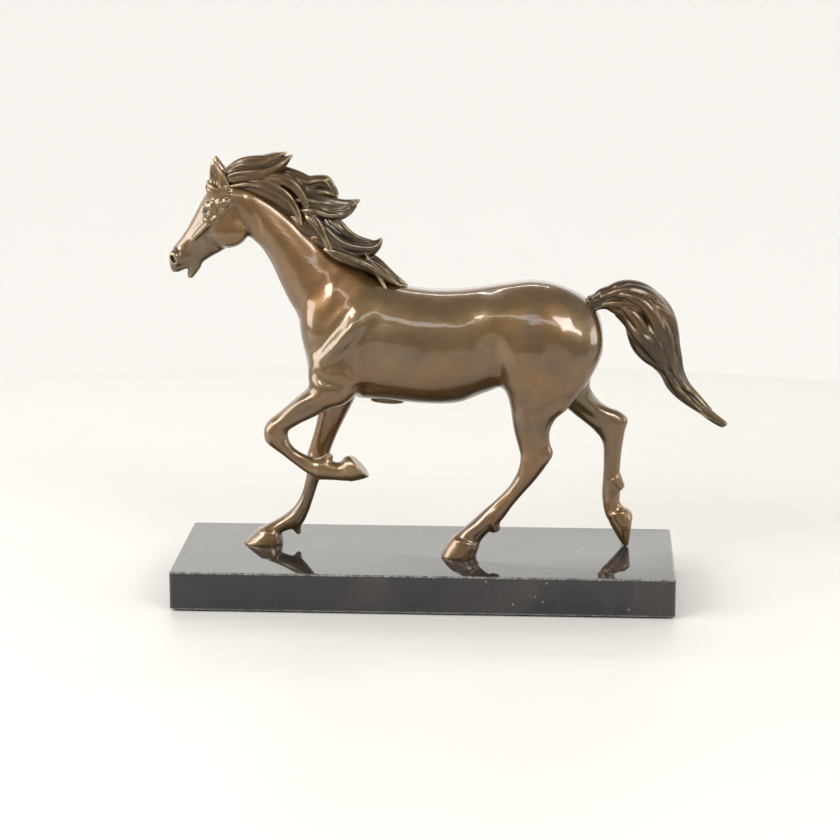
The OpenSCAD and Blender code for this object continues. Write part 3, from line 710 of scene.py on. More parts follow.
MANE_LOWER = [
    ([[-60, 0, 190, 3, 2], [-50, 0, 184, 5.6, 8], [-41, 0, 178, 5, 8.4], [-32, 0, 173.6, 4, 7.4],
      [-24, 0, 169, 2.6, 5], [-16, 0, 165.6, 0.8, 2]], 6),
    ([[-57, -5.4, 197.6, 3, 3.6], [-51.4, -5.8, 191.6, 4, 3.8], [-46, -5.8, 186.4, 5, 3.8],
      [-40, -5.4, 183, 5.2, 3.6], [-34, -4.6, 181.8, 4.8, 3.2], [-29.4, -4, 182.2, 4.4, 2.8],
      [-26.4, -3.6, 183.8, 3.6, 2.3], [-24.2, -3.4, 186, 2, 1.6], [-22.9, -3.4, 188, 0.7, 0.7]], 5),
    ([[-51, -3.6, 198.6, 2.4, 3], [-45, -3.8, 194.8, 2.3, 2.8], [-40.6, -3.8, 190.8, 2.3, 2.6],
      [-35, -3.4, 187.6, 1.9, 2.2], [-29, -3.2, 185.8, 1.5, 1.8], [-25.4, -3.2, 186.2, 0.6, 0.8]], 4),
    ([[-52, -8, 183, 2.4, 3], [-44, -9.4, 179.6, 2.6, 3], [-36, -9.6, 176.6, 2.8, 3],
      [-29, -8.8, 174, 3, 3.2], [-22.6, -7.4, 169.6, 2.6, 3], [-17, -6, 165.8, 1.6, 2],
      [-12.6, -5, 163.4, 0.6, 0.8]], 5),
    ([[-47, 0, 180, 4, 6], [-36, 0, 177.5, 4, 6], [-28, -1, 174.8, 3.8, 5.4], [-21, -1.4, 170, 2.8, 4],
      [-14, -1.4, 165.6, 1.4, 2.4], [-9.6, -1.4, 163.2, 0.5, 0.7]], 6),
    ([[-32, -5, 182, 0.6, 0.8], [-29.6, -8.6, 178.6, 1, 1.2], [-27.4, -9.8, 174.6, 1.1, 1.3],
      [-24.6, -9.6, 169.6, 1, 1.2], [-21.6, -9.2, 164.6, 0.9, 1], [-20, -9, 161.6, 0.4, 0.4]], 3),
    ([[-60, 6.4, 194, 3.4, 3.2], [-51, 7.4, 187.6, 3.8, 3.2], [-42, 8, 182, 3.6, 3],
      [-34, 8, 177.6, 3, 2.8], [-26, 7.4, 172, 2.2, 2.2], [-18, 6, 165.4, 0.7, 0.8]], 5),
    ([[-62, 0, 190, 6, 6], [-50, 0, 187, 6.4, 6], [-42, -1, 183.4, 4.4, 4.8], [-34, -2, 181, 3.2, 3.6],
      [-27, -3, 180.6, 1.6, 2.4]], 4),
]
TAIL = [
    [83, 159.5, 83.5, 148, 0, 5.4], [87, 160.6, 87.6, 149.6, 0, 5.6], [93, 163, 93.6, 151, 0, 6.4],
    [104, 165, 99, 147.6, 0, 8], [115, 162, 104.4, 142.6, 0, 9.2], [123, 156, 106.6, 137, 0, 9.8],
    [127.6, 148.4, 109, 131, 0, 9.6], [130.2, 138, 112.4, 125.6, 0, 8.6],
    [131.5, 128, 117, 121.4, 0, 7.2], [132.6, 120, 121.6, 117.2, 0, 6],
    [136, 113, 125.4, 110.8, 0, 5.4], [141.2, 108, 131, 104.4, 0, 5], [147, 102, 138.6, 98, 0, 4.6],
    [152, 97.2, 146, 92.8, 0, 3.6], [156.2, 93.4, 153, 89.2, 0, 2], [157, 91.6, 156.2, 90.4, 0, 0.5],
]


def tail_strands(count, seed):
    """The tail: a core, fuller at the dock and at the tip, with long strands wound round it."""
    rng = np.random.default_rng(seed)
    middle, u, width = sections(TAIL)
    v = np.zeros_like(u)
    v[:, 1] = np.maximum(width, 0.3)
    t = np.linspace(0, 1, len(middle))
    size = mean_radius(u, v)
    dock = 0.14 * np.clip(1 - t / 0.15, 0, 1)
    tip = 0.34 * np.clip((t - 0.7) / 0.3, 0, 1)
    slim = (0.66 - 0.14 * t + dock + tip)[:, None]
    tubes = [oval_rings(middle, u * slim, v * slim, 36)]
    for k in range(count):
        phase = 2 * np.pi * (k + rng.uniform(-0.3, 0.3)) / count
        phase = phase + TAIL_TWIST * t + TAIL_WANDER * sway(t, rng.uniform(1.2, 2.4), rng.uniform(0, 1))
        away = 0.64 + 0.1 * t + 0.1 * sway(t, 2, rng.uniform(0, 1))
        radius = size * rng.uniform(0.24, 0.5) + 0.25
        end, begin = rng.uniform(0.76, 0.93), rng.uniform(0.0, 0.16)
        radius = radius * np.clip((end + 0.03 - t) / 0.3, 0.1, 1) ** 0.7
        radius = radius * np.clip((t - begin) / 0.1, 0.3, 1)
        tube = hair_strand(middle, u, v, away, phase, np.maximum(radius, 0.3))
        tubes.append(tube[int(begin * (len(t) - 1)):int(end * (len(t) - 1)) + 1])
    return tubes


def hair(locks, cell, seed):
    """Clay of a group of locks, each with a seed of its own."""
    tubes = []
    for k, (rows, count) in enumerate(locks):
        tubes += lock(rows, count, seed + k)
    return union_of(tubes, cell, LOCK_BLEND)


def union_of(tubes, cell, blend):
    """Clay of all the tubes run together."""
    points = np.vstack([r.reshape(-1, 3) for r in tubes])
    clay = Clay(points.min(0) - 2, points.max(0) + 2, cell)
    for rings in tubes:
        clay.add(rings, blend)
    return clay


# ---------------------------------------------------------------- pieces

CROWDING_RADIUS = 3.2    # mm round a point within which neighbouring bronze adds painted shade
WEAR_RADIUS = 1.1        # mm over which a ridge must stand out to be rubbed bright


def to_bmesh(skin, layers):
    """The surface as an editable mesh in metres, with a number for each point in each layer."""
    mesh = bpy.data.meshes.new("skin")
    mesh.from_pydata((skin.p * MM).tolist(), [], skin.q.tolist())
    for key, value in layers.items():
        attribute = mesh.attributes.new(key, "FLOAT", "POINT")
        attribute.data.foreach_set("value", value.astype(np.float32))
    bm = bmesh.new()
    bm.from_mesh(mesh)
    bpy.data.meshes.remove(mesh)
    return bm


def trim(bm, weld, beyond, box):
    """Cuts the mesh at a weld plane inside a box and drops one side."""
    point, way = Vector(weld[0]) * MM, Vector(weld[1])
    low, high = Vector(box[0]) * MM, Vector(box[1]) * MM

    def inside(co):
        return all(low[k] <= co[k] <= high[k] for k in range(3))

    faces = [f for f in bm.faces if inside(f.calc_center_median())]
    verts = {v for f in faces for v in f.verts}
    edges = {e for f in faces for e in f.edges}
    bmesh.ops.bisect_plane(bm, geom=[*verts, *edges, *faces], dist=1e-7, plane_co=point, plane_no=way)
    side = 1 if beyond else -1
    gone = []
    for f in bm.faces:
        c = f.calc_center_median()
        if inside(c) and (c - point).dot(way) * side < 0:
            gone.append(f)
    bmesh.ops.delete(bm, geom=gone, context="FACES")


def keep_largest(bm):
    """Drops every loose bit but the one with the most points."""
    left, best = set(bm.verts), []
    while left:
        first = left.pop()
        group, todo = [first], [first]
        while todo:
            for e in todo.pop().link_edges:
                for v in e.verts:
                    if v in left:
                        left.remove(v)
                        group.append(v)
                        todo.append(v)
        if len(group) > len(best):
            best = group
    keep = set(best)
    bmesh.ops.delete(bm, geom=[v for v in bm.verts if v not in keep], context="VERTS")


def close(bm):
    """Caps the open cuts with flat faces and sharp rims."""
    rim = [e for e in bm.edges if e.is_boundary]
    made = bmesh.ops.holes_fill(bm, edges=rim, sides=0)["faces"]
    for f in made:
        f.smooth = False
        for e in f.edges:
            e.smooth = False
    bmesh.ops.triangulate(bm, faces=made)


def make_piece(name, clay, node, material, cuts=(), strokes=(), rounds=1):
    """Turns a clay form into a piece that stands for a CAD node."""
    skin = clay.skin()
    skin.smooth(rounds)
    crowding = clay.crowding(skin.p, CROWDING_RADIUS)
    if strokes:
        skin.carve(strokes, clay.cell)
        skin.smooth(3)
        ripple(skin, length=16, amount=0.06, seed=3)
    # The crowding layer drives painted shade: bronze is darkened where neighbouring bronze crowds round a
    # point.
    layers = {"wear": bend(skin, WEAR_RADIUS, clay.cell), "hollow": crowding - 0.5}
    bm = to_bmesh(skin, layers)
    for f in bm.faces:
        f.smooth = True
    for weld, beyond, box in cuts:
        trim(bm, weld, beyond, box)
    if cuts:
        keep_largest(bm)
        close(bm)
    finish_piece(name, bm, node, material)


def to_object(name, bm, material):
    """Puts the mesh into the scene as an object of one material."""
    mesh = bpy.data.meshes.new(name)
    bm.to_mesh(mesh)
    bm.free()
    mesh.materials.clear()
    mesh.materials.append(material)
    thing = bpy.data.objects.new(name, mesh)
    bpy.context.scene.collection.objects.link(thing)
    return thing


def finish_piece(name, bm, node, material):
    piece = to_object(name, bm, material)
    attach(piece, "root")
    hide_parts(node)


# ---------------------------------------------------------------- materials

class Look:
    """A node material under construction."""

    def __init__(self, name):
        self.material = bpy.data.materials.new(name)
        self.material.use_nodes = True
        self.tree = self.material.node_tree
        self.shader = self.tree.nodes["Principled BSDF"]
        self.place = self.add("ShaderNodeTexCoord").outputs["Object"]

    def add(self, kind, inputs=None, **settings):
        node = self.tree.nodes.new(kind)
        for key, value in settings.items():
            setattr(node, key, value)
        for key, value in (inputs or {}).items():
            self.set(node.inputs[key], value)
        return node

    def set(self, socket, value):
        """Links a socket to another, or gives it a fixed value."""
        if isinstance(value, bpy.types.NodeSocket):
            self.tree.links.new(value, socket)
        else:
            socket.default_value = value

    def noise(self, scale, detail=4, roughness=0.6, distortion=0.0, stretch=None):
        place = self.place
        if stretch:
            mapping = self.add("ShaderNodeMapping", {"Vector": place, "Scale": stretch})
            place = mapping.outputs[0]
        node = self.add("ShaderNodeTexNoise", {
            "Vector": place, "Scale": scale, "Detail": detail, "Roughness": roughness,
            "Distortion": distortion})
        return node.outputs["Fac"]

    def attribute(self, name):
        """A number that the mesh carries under that name."""
        return self.add("ShaderNodeAttribute", attribute_name=name).outputs["Fac"]

    def span(self, value, low, high, out_low=0.0, out_high=1.0):
        """The value's way from low to high, held at both ends, as one from out_low to out_high."""
        node = self.add("ShaderNodeMapRange", {
            "Value": value, "From Min": low, "From Max": high, "To Min": out_low, "To Max": out_high})
        return node.outputs["Result"]

    def maths(self, operation, a, b):
        return self.add("ShaderNodeMath", {0: a, 1: b}, operation=operation).outputs[0]

    def times(self, a, b):
        return self.maths("MULTIPLY", a, b)

    def mix(self, factor, a, b):
        """Colour a where the factor is 0 and colour b where it is 1."""
        return self.add("ShaderNodeMix", {0: factor, 6: a, 7: b}, data_type="RGBA").outputs[2]

    def bump(self, height, strength, distance, normal=None):
        inputs = {"Height": height, "Strength": strength, "Distance": distance}
        if normal is not None:
            inputs["Normal"] = normal
        return self.add("ShaderNodeBump", inputs).outputs["Normal"]

    def finish(self, **values):
        for key, value in values.items():
            self.set(self.shader.inputs[key.replace("_", " ")], value)
        return self.material


def bronze(name, dark, light, warm, fold_shade_and_patina, gold, wear_span, hollow_span, lacquer):
    """Brown patina, rubbed to gold on ridges, under a clear lacquer, with painted shade darkening crowded
    places and folds along with the darker patina kept there. The spans say how far a ridge must stand out
    and how crowded a point must be for that to begin and to be full."""
    look = Look(name)
    mottle = look.span(look.noise(38, 6, 0.62, 0.4), 0.3, 0.7)
    patches = look.span(look.noise(110, 5, 0.7), 0.35, 0.68)
    warmth = look.span(look.noise(19, 3, 0.5, 0.8), 0.46, 0.6)
    colour = look.mix(mottle, dark, light)
    colour = look.mix(look.times(warmth, 0.75), colour, warm)
    colour = look.mix(look.times(patches, 0.45), colour, dark)
    # Painted shade: crowded places and folds turn towards a near-black brown, along with the darker
    # patina bronze keeps in its folds.
    hollow = look.span(look.attribute("hollow"), *hollow_span)
    fold = look.span(look.attribute("wear"), -0.06, -0.3)
    depth = look.maths("MAXIMUM", hollow, fold)
    colour = look.mix(look.times(depth, 0.85), colour, fold_shade_and_patina)
    rub = look.span(look.attribute("wear"), *wear_span)
    rub = look.times(rub, look.span(look.noise(160, 4, 0.7), 0.32, 0.6))
    colour = look.mix(rub, colour, gold)
    roughness = look.span(look.noise(90, 5, 0.7), 0.3, 0.7, 0.33, 0.43)
    roughness = look.maths("ADD", roughness, look.times(depth, 0.2))
    normal = look.bump(look.noise(1500, 3, 0.7), 0.12, 0.0002)
    normal = look.bump(look.noise(260, 4, 0.6), 0.16, 0.0005, normal)
    return look.finish(
        Base_Color=colour, Metallic=look.span(rub, 0, 1, 0.68, 0.95), Roughness=roughness, Normal=normal,
        Coat_Weight=lacquer, Coat_Roughness=0.1, Coat_IOR=1.6)


# The fourth colour of each bronze is painted shade for crowded places and folds, along with the darker
# patina there.
BODY_BRONZE = bronze(
    "patinated_bronze",
    dark=(0.078, 0.045, 0.015, 1), light=(0.165, 0.1, 0.037, 1), warm=(0.172, 0.078, 0.017, 1),
    fold_shade_and_patina=(0.03, 0.019, 0.012, 1), gold=(0.66, 0.5, 0.26, 1),
    wear_span=(0.12, 0.42), hollow_span=(0.08, 0.34), lacquer=1.0)
HAIR_BRONZE = bronze(
    "hair_bronze",
    dark=(0.034, 0.022, 0.01, 1), light=(0.084, 0.055, 0.024, 1), warm=(0.1, 0.05, 0.015, 1),
    fold_shade_and_patina=(0.014, 0.014, 0.009, 1), gold=(0.68, 0.52, 0.27, 1),
    wear_span=(0.1, 0.36), hollow_span=(0.05, 0.26), lacquer=0.4)


def marble():
    """Polished black stone with hair-thin veins, a few pale specks, and arrises painted pale in patches:
    scuffs with a painted edge highlight.
    """
    look = Look("black_marble")
    cloud = look.span(look.noise(14, 6, 0.6, 1.2), 0.4, 0.75)
    colour = look.mix(cloud, (0.016, 0.0145, 0.0145, 1), (0.036, 0.032, 0.032, 1))
    vein = look.maths("ABSOLUTE", look.maths("SUBTRACT", look.noise(9, 3, 0.5, 0.6), 0.53), 0.0)
    vein = look.times(look.span(vein, 0.0016, 0.0), look.span(look.noise(12, 3), 0.56, 0.7))
    speck = look.add("ShaderNodeTexVoronoi", {"Vector": look.place, "Scale": 210.0}).outputs["Distance"]
    speck = look.times(look.span(speck, 0.17, 0.05), look.span(look.noise(23, 4, 0.7), 0.55, 0.66))
    pale = look.maths("MAXIMUM", look.times(vein, 0.03), look.times(speck, 0.7))
    # Painted highlight along the bevelled arrises, broken up into scuffs.
    arris_scuffs_and_highlight = look.span(look.noise(420, 4, 0.75), 0.42, 0.75, 0.12, 1)
    arris_scuffs_and_highlight = look.times(look.attribute("arris"), arris_scuffs_and_highlight)
    pale = look.maths("MAXIMUM", pale, look.times(arris_scuffs_and_highlight, 0.6))
    colour = look.mix(pale, colour, (0.5, 0.49, 0.47, 1))
    roughness = look.span(look.noise(300, 3, 0.7), 0.3, 0.7, 0.035, 0.075)
    roughness = look.maths("ADD", roughness, look.times(pale, 0.3))
    return look.finish(Base_Color=colour, Roughness=roughness, IOR=1.52)


def felt():
    """Black felt with a fine nap."""
    look = Look("black_felt")
    fibres = look.noise(1800, 6, 0.8, 1.5)
    colour = look.mix(look.span(fibres, 0.3, 0.8), (0.008, 0.008, 0.009, 1), (0.045, 0.045, 0.05, 1))
    normal = look.bump(fibres, 0.8, 0.0004)
    return look.finish(Base_Color=colour, Roughness=0.95, Normal=normal, Sheen_Weight=0.4)


def zinc():
    """Zinc with a cloudy bloom and a grain drawn out along the studs."""
    look = Look("zinc_plated_steel")
    grain = look.noise(900, 5, 0.7, 0.0, (1, 1, 0.1))
    bloom = look.span(look.noise(160, 4), 0.35, 0.7)
    colour = look.mix(bloom, (0.5, 0.52, 0.55, 1), (0.68, 0.68, 0.66, 1))
    roughness = look.span(grain, 0.3, 0.7, 0.24, 0.45)
    normal = look.bump(grain, 0.1, 0.0001)
    return look.finish(Base_Color=colour, Metallic=0.95, Roughness=roughness, Normal=normal)


# ---------------------------------------------------------------- strokes of the modelling tool
# Each is (path of [x, z], width, height, side), in millimetres. Side -1 is the near side and 0 is both.

STROKES = [
    # shoulder and breast
    ([[-46.6, 170], [-46.8, 163], [-48.8, 157], [-54, 149]], 3.0, 0.7, 0),
    ([[-60, 157], [-58, 150], [-57, 142], [-57, 133]], 5.0, 1.0, 0),
    ([[-36, 154], [-43, 146], [-50, 138], [-58, 128]], 2.8, -1.7, 0),
    ([[-31, 149], [-39, 139.8], [-45.6, 132.4], [-53, 124]], 4.2, 0.7, 0),
    ([[-25, 148], [-33, 139.4], [-42, 130.6], [-53, 120.6]], 3.0, -1.6, 0),
    ([[-22, 146], [-28, 139], [-34, 132], [-38, 125]], 4.6, 0.7, 0),
    ([[-36, 134], [-38, 129], [-37.4, 123], [-35.6, 117], [-34, 110]], 2.4, -1.4, 0),
    ([[-17, 146], [-19, 140], [-22, 132], [-25, 124]], 6.0, 0.5, 0),
    ([[-58, 121], [-52, 117.5], [-46, 115.4], [-40, 115]], 2.4, -1.2, 0),
    ([[-38, 113], [-32, 111.6], [-25, 111]], 2.4, -0.8, 0),
    # neck
    ([[-93, 195], [-86, 187], [-78, 172], [-70, 159], [-64, 148]], 3.6, -1.1, 0),
    ([[-90, 208], [-80, 201], [-70, 191], [-60, 180], [-52, 172]], 3.6, -0.8, 0),
    ([[-97, 207], [-94, 199], [-89, 191]], 2.2, -1.0, 0),
    ([[-94, 209], [-89, 201], [-84, 192]], 2.2, -0.7, 0),
    # flank, haunch and gaskin
    ([[35, 140], [35.4, 131], [37, 122], [39.4, 114]], 4.4, -1.2, 0),
    ([[42, 147], [43.4, 138], [44.6, 126], [46.4, 109]], 4.4, 0.8, 0),
    ([[57, 142], [61, 137], [65, 130], [68, 122], [69, 114]], 5.4, -0.8, 0),
    ([[50, 124], [58, 119], [66, 117]], 5.0, -0.7, -1),
    ([[54, 97], [61, 101], [68, 105.5], [76, 110]], 3.0, -0.9, -1),
    ([[50, 112], [54, 104], [57, 96], [59, 88]], 2.8, -1.0, -1),
    ([[56.6, 95], [59.6, 87], [61.6, 80], [62.4, 73]], 2.0, -1.2, -1),
    ([[46, 58.5], [38, 50], [30.6, 42.6]], 1.6, -0.7, -1),
    ([[50, 77], [50.6, 71], [48, 65.5]], 1.8, 0.7, -1),
    ([[76, 101], [84, 93], [91, 88.6]], 2.2, -0.9, 0),
    ([[98.4, 84], [98.4, 75], [97.6, 64], [97.2, 55]], 1.7, -0.8, 0),
    ([[94.6, 86], [95.4, 78], [94.6, 70]], 1.6, 0.6, 0),
    # forelegs
    ([[-51, 94], [-54, 85], [-56.6, 77]], 2.0, -0.6, 0),
    ([[-60, 57], [-62.4, 49], [-65.4, 42]], 1.2, -0.5, 0),
    ([[-52, 105], [-61, 100], [-71, 94.4]], 1.8, -0.9, -1),
    ([[-57, 109.6], [-65, 104.4], [-74, 99]], 1.8, 0.6, -1),
    ([[-81.8, 92.6], [-81, 87.6], [-77.6, 83]], 1.7, 0.8, -1),
    ([[-75, 92], [-73.6, 86.6], [-74.6, 81.6]], 1.5, -0.9, -1),
    ([[-71, 78.6], [-64, 73.6], [-58.6, 70]], 1.2, -0.6, -1),
    ([[-55.6, 74.4], [-55, 68], [-56.4, 62.6]], 1.2, 0.6, -1),
    # coronets
    ([[14.6, 31.6], [20, 30], [27.6, 27.8]], 0.8, 0.5, -1),
    ([[-89.6, 29.4], [-84, 28.6], [-78.6, 27.6]], 0.8, 0.5, 0),
    ([[95, 38], [100, 39.4], [106, 41]], 0.8, 0.5, 0),
    ([[-39, 61.8], [-40.4, 67], [-42.4, 73.4]], 0.8, 0.5, 0),
    # muzzle and cheek
    ([[-131, 171.2], [-125.6, 172.8], [-120.6, 176], [-117, 179.4]], 0.8, -0.9, 0),
    ([[-128, 184], [-123, 186.6], [-118.6, 189.6], [-113, 195]], 1.4, 0.5, 0),
    ([[-119.4, 185.6], [-114, 190.4], [-109.6, 194.6]], 1.1, -0.8, 0),
    ([[-125, 178.4], [-119, 181.6], [-113, 185]], 1.6, -0.6, 0),
    ([[-113.4, 194], [-112, 187], [-106, 182], [-98, 182], [-92.4, 186], [-90.6, 192], [-92, 199.6]],
     1.6, -1.5, 0),
    ([[-89, 202], [-86.6, 194], [-86.6, 187]], 1.8, -0.9, 0),
    ([[-119, 199], [-115, 200.6], [-113.4, 205], [-112, 209]], 1.5, -0.8, 0),
    ([[-104.6, 199.6], [-101, 202.6], [-98.6, 207]], 1.3, -0.9, 0),
]

for name, node, low, high, cell, cuts in CASTINGS:
    clay = model(low, high, cell)
    make_piece(name, clay, node, BODY_BRONZE, cuts, STROKES, rounds=3)
for name, node, locks, seed in (
        ("forelock_bronze", "forelock_casting", FORELOCK, 11),
        ("mane_upper_bronze", "mane_upper_locks", MANE_UPPER, 23),
        ("mane_middle_bronze", "mane_middle_locks", MANE_MIDDLE, 37),
        ("mane_lower_bronze", "mane_lower_locks", MANE_LOWER, 51)):
    make_piece(name, hair(locks, HAIR_CELL, seed), node, HAIR_BRONZE)
tail = union_of(tail_strands(count=15, seed=8), TAIL_CELL, TAIL_BLEND)
make_piece("tail_bronze", tail, "tail_casting", HAIR_BRONZE)


def skin_rings(bm, rings):
    """Quads between neighbouring rings and a flat face at either end."""
    n = len(rings[0])
    for lower, upper in zip(rings, rings[1:]):
        for k in range(n):
            m = (k + 1) % n
            bm.faces.new((lower[k], lower[m], upper[m], upper[k]))
    bm.faces.new(rings[0][::-1])
    bm.faces.new(rings[-1])
    for f in bm.faces:
        f.smooth = len(f.verts) == 4


def plug():
    """The oval plug stands a little proud of the belly, domed and chased round its edge."""
    low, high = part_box("belly_core_plug")
    x, y = (low.x + high.x) / 2, (low.y + high.y) / 2
    a, b = (high.x - low.x) / 2, (high.y - low.y) / 2
    top, rim, dome = high.z, low.z + 2.2 * MM, low.z + 0.9 * MM
    groove = 0.93    # the chased line's size against the plug's
    steps = [(1, top), (1, rim + 0.6 * MM), (groove, rim + 0.35 * MM), (groove, rim + 0.1 * MM)]
    steps += [(0.98 * math.cos(t), rim - (rim - dome) * math.sin(t)) for t in np.linspace(0.1, 1.5, 14)]
    sides = 72
    bm = bmesh.new()
    wear = bm.verts.layers.float.new("wear")
    rings = []
    for size, z in steps:
        tilt = 0.06 if z < top else 0
        ring = []
        for k in range(sides):
            t = 2 * math.pi * k / sides
            px = a * size * math.cos(t)
            v = bm.verts.new((x + px, y + b * size * math.sin(t), z - tilt * px))
            v[wear] = 0.12 if size == groove and z > rim + 0.2 * MM else -0.02
            ring.append(v)
        rings.append(ring)
    skin_rings(bm, rings)
    bmesh.ops.recalc_face_normals(bm, faces=bm.faces)
    finish_piece("core_plug_bronze", bm, "belly_core_plug", BODY_BRONZE)


def plinth():
    """The slab with its arrises eased."""
    low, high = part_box("marble_plinth")
    bm = bmesh.new()
    bm.from_mesh(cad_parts["marble_plinth"].data)
    arris = bm.faces.layers.float.new("arris")
    bmesh.ops.remove_doubles(bm, verts=bm.verts, dist=1e-6)
    bmesh.ops.dissolve_limit(bm, angle_limit=0.01, verts=bm.verts, edges=bm.edges)

    def outer(v):
        gap = min(v.co.x - low.x, high.x - v.co.x, v.co.y - low.y, high.y - v.co.y)
        return gap < 6 * MM

    def is_arris(e):
        a, b = e.verts
        level = abs(a.co.z - b.co.z) < 1e-6
        return len(e.link_faces) == 2 and e.calc_face_angle(0) > 1 and level and outer(a) and outer(b)

    sharp = [e for e in bm.edges if is_arris(e)]
    bevel = bmesh.ops.bevel(bm, geom=sharp, offset=0.8 * MM, segments=4, profile=0.5, affect="EDGES")
    for f in bm.faces:
        f.smooth = True
    for f in bevel["faces"]:
        f[arris] = 1.0
    for e in bm.edges:
        e.smooth = e.calc_face_angle(0) < 0.5
    finish_piece("plinth_marble", bm, "marble_plinth", marble())


def felt_sheet():
    """Felt with a slightly ragged, rounded edge."""
    low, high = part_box("felt_pad")
    rng = np.random.default_rng(8)
    corners = [(low.x, low.y), (high.x, low.y), (high.x, high.y), (low.x, high.y)]
    outline = []
    for a, b in zip(corners, corners[1:] + corners[:1]):
        steps = round(math.dist(a, b) / (1.2 * MM))
        for k in range(steps):
            outline.append((a[0] + (b[0] - a[0]) * k / steps, a[1] + (b[1] - a[1]) * k / steps))
    n = len(outline)
    centre = (low + high) / 2
    rough = np.convolve(np.tile(rng.normal(size=n), 3), [0.25, 0.5, 0.25], "same")[n:2 * n] * 0.1 * MM
    bm = bmesh.new()
    rings = []
    # Height as a share of the felt, and how far the edge draws back there, in millimetres
    for share, back in ((0, 0.25), (0.2, 0.05), (0.5, 0), (0.8, 0.05), (1, 0.25)):
        z = low.z + (high.z - low.z) * share
        ring = []
        for k, (x, y) in enumerate(outline):
            dx, dy = x - centre.x, y - centre.y
            pull = 1 - (abs(rough[k]) + back * MM) / max(abs(dx), abs(dy))
            ring.append(bm.verts.new((centre.x + dx * pull, centre.y + dy * pull, z)))
        rings.append(ring)
    skin_rings(bm, rings)
    finish_piece("felt_sheet", bm, "felt_pad", felt())


plug()
plinth()
felt_sheet()

# The fasteners keep their CAD shape and only take a material
ZINC = zinc()
for node in ("mounting_studs", "flat_washers", "lock_washers", "hex_nuts"):
    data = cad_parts[node].data
    data.materials.clear()
    data.materials.append(ZINC)


# ---------------------------------------------------------------- stage, light and camera

# All in metres
TABLE_RADIUS = 0.85
TABLE_CENTRE = -0.27
TABLE_EDGE = 0.006
WALL_RADIUS = 2.8
WALL_SWEEP = 0.8        # radius of the sweep from wall to floor
WALL_FOOT = -0.5


def turned(name, profile, centre_y, material):
    """A stage surface turned round a vertical line, from a profile of (radius, z)."""
    sides = 128
    bm = bmesh.new()
    rings = []
    for r, z in profile:
        if r == 0:
            rings.append([bm.verts.new((0, centre_y, z))])
        else:
            angles = [2 * math.pi * k / sides for k in range(sides)]
            rings.append([bm.verts.new((r * math.cos(a), centre_y + r * math.sin(a), z)) for a in angles])
    for inner, outer in zip(rings, rings[1:]):
        for k in range(sides):
            m = (k + 1) % sides
            if len(inner) == 1:
                bm.faces.new((inner[0], outer[k], outer[m]))
            else:
                bm.faces.new((inner[k], outer[k], outer[m], inner[m]))
    for f in bm.faces:
        f.smooth = True
    to_object(name, bm, material)


def table_look():
    look = Look("table_white")
    roughness = look.span(look.noise(40, 3), 0.3, 0.7, 0.45, 0.5)
    return look.finish(Base_Color=(0.625, 0.61, 0.575, 1), Roughness=roughness)


def wall_look():
    """Paper that glows with painted light, brighter on the far side and higher up, with its colour
    painted paler on the far side.
    """
    look = Look("wall_white")
    split = look.add("ShaderNodeSeparateXYZ", {"Vector": look.place})
    far = look.span(split.outputs["Y"], -1.6, 0.8)
    high = look.span(split.outputs["Z"], 0.2, 0.9, 0.315, 1.25)
    # Painted light: the glow stands in for light falling on the wall from behind and above.
    glow = look.times(look.span(far, 0, 1, 0.12, 1), high)
    # Painted light too: the paper's colour is paler on the far side.
    colour = look.mix(far, (0.4, 0.39, 0.38, 1), (0.56, 0.55, 0.53, 1))
    return look.finish(
        Base_Color=colour, Roughness=0.9, Emission_Color=(1, 0.985, 0.96, 1), Emission_Strength=glow)


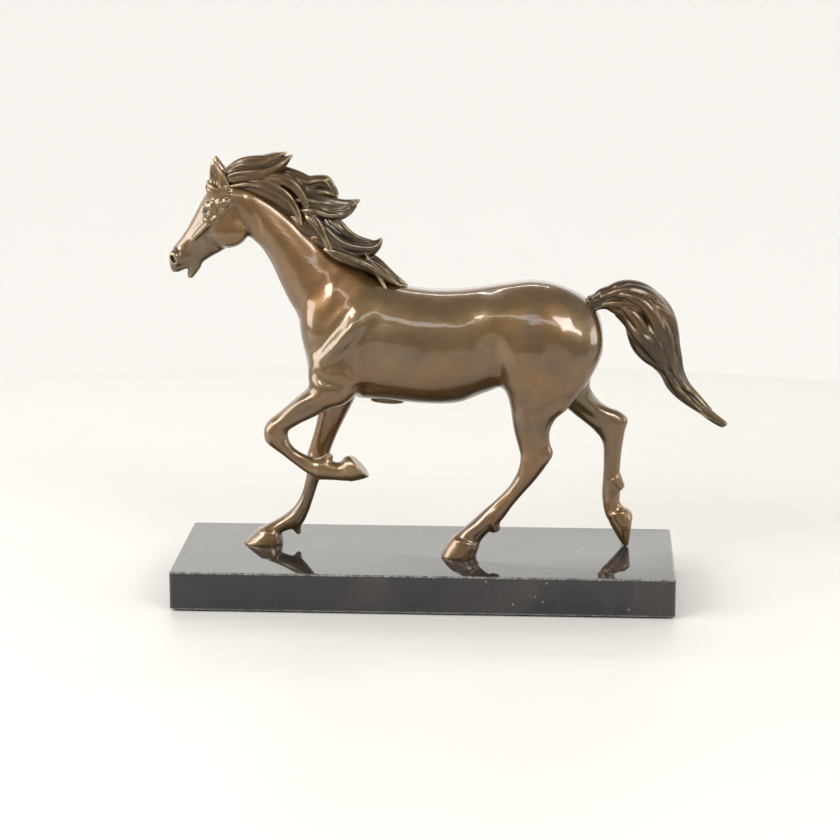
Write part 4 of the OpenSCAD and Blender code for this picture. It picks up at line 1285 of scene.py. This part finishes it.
def make_stage():
    """A round table with an eased edge, inside a round wall that sweeps into its floor."""
    top = [(0, 0), (0.3, 0), (0.6, 0), (0.8, 0)]
    for t in np.linspace(0, math.pi / 2, 8):
        top.append((TABLE_RADIUS + TABLE_EDGE * math.sin(t), -TABLE_EDGE + TABLE_EDGE * math.cos(t)))
    top.append((TABLE_RADIUS + TABLE_EDGE, -0.05))
    turned("table", top, TABLE_CENTRE, table_look())
    wall = [(0, WALL_FOOT), (WALL_RADIUS - WALL_SWEEP, WALL_FOOT)]
    for t in np.linspace(0.15, math.pi / 2, 12):
        wall.append((WALL_RADIUS - WALL_SWEEP * (1 - math.sin(t)),
                     WALL_FOOT + WALL_SWEEP * (1 - math.cos(t))))
    wall.append((WALL_RADIUS, 2.2))
    turned("wall", wall, 0, wall_look())


MIDDLE = (0, 0, 0.12)
# Name, place, width and height in metres, and power in watts. All of them face the horse's middle.
LIGHTS = [
    ("left", (-1.6, -0.6, 0.65), (1.2, 1.0), 22),
    ("left_front", (-1.1, -1.3, 1.15), (0.75, 0.7), 20),
    ("right_front", (1.0, -1.35, 1.15), (0.75, 0.6), 17),
    ("right_low", (1.5, -0.3, 0.5), (0.6, 0.6), 5),
    ("front_strip", (0, -1.5, 1.1), (1.2, 0.14), 2),
    ("back_strip", (-0.1, 0.8, 1.35), (0.9, 0.06), 3),
]
CAMERA_PLACE = (0.0765, -1.4289, 0.4195)
CAMERA_WAY = (-0.0544, 0.9732, -0.2234)
CAMERA_LENS = 120.26     # mm, on a sensor 36 mm wide


def aim(name, data, place, way):
    """A lamp or camera at a place, looking along a way."""
    thing = bpy.data.objects.new(name, data)
    thing.location = place
    thing.rotation_euler = way.to_track_quat("-Z", "Y").to_euler()
    bpy.context.scene.collection.objects.link(thing)
    return thing


def area_light(name, place, size, power):
    data = bpy.data.lights.new(name, "AREA")
    data.shape = "RECTANGLE"
    data.size, data.size_y = size
    data.energy = power
    aim(name, data, place, Vector(MIDDLE) - Vector(place))


def make_camera():
    data = bpy.data.cameras.new("camera")
    data.sensor_width = 36
    data.lens = CAMERA_LENS
    bpy.context.scene.camera = aim("camera", data, CAMERA_PLACE, Vector(CAMERA_WAY).normalized())


def make_world():
    world = bpy.data.worlds.new("studio")
    world.use_nodes = True
    background = world.node_tree.nodes["Background"]
    background.inputs["Color"].default_value = (1, 0.99, 0.96, 1)
    background.inputs["Strength"].default_value = 0.42
    bpy.context.scene.world = world


make_stage()
make_world()
for name, place, size, power in LIGHTS:
    area_light(name, place, size, power)
make_camera()
bpy.context.scene.view_settings.view_transform = "Standard"
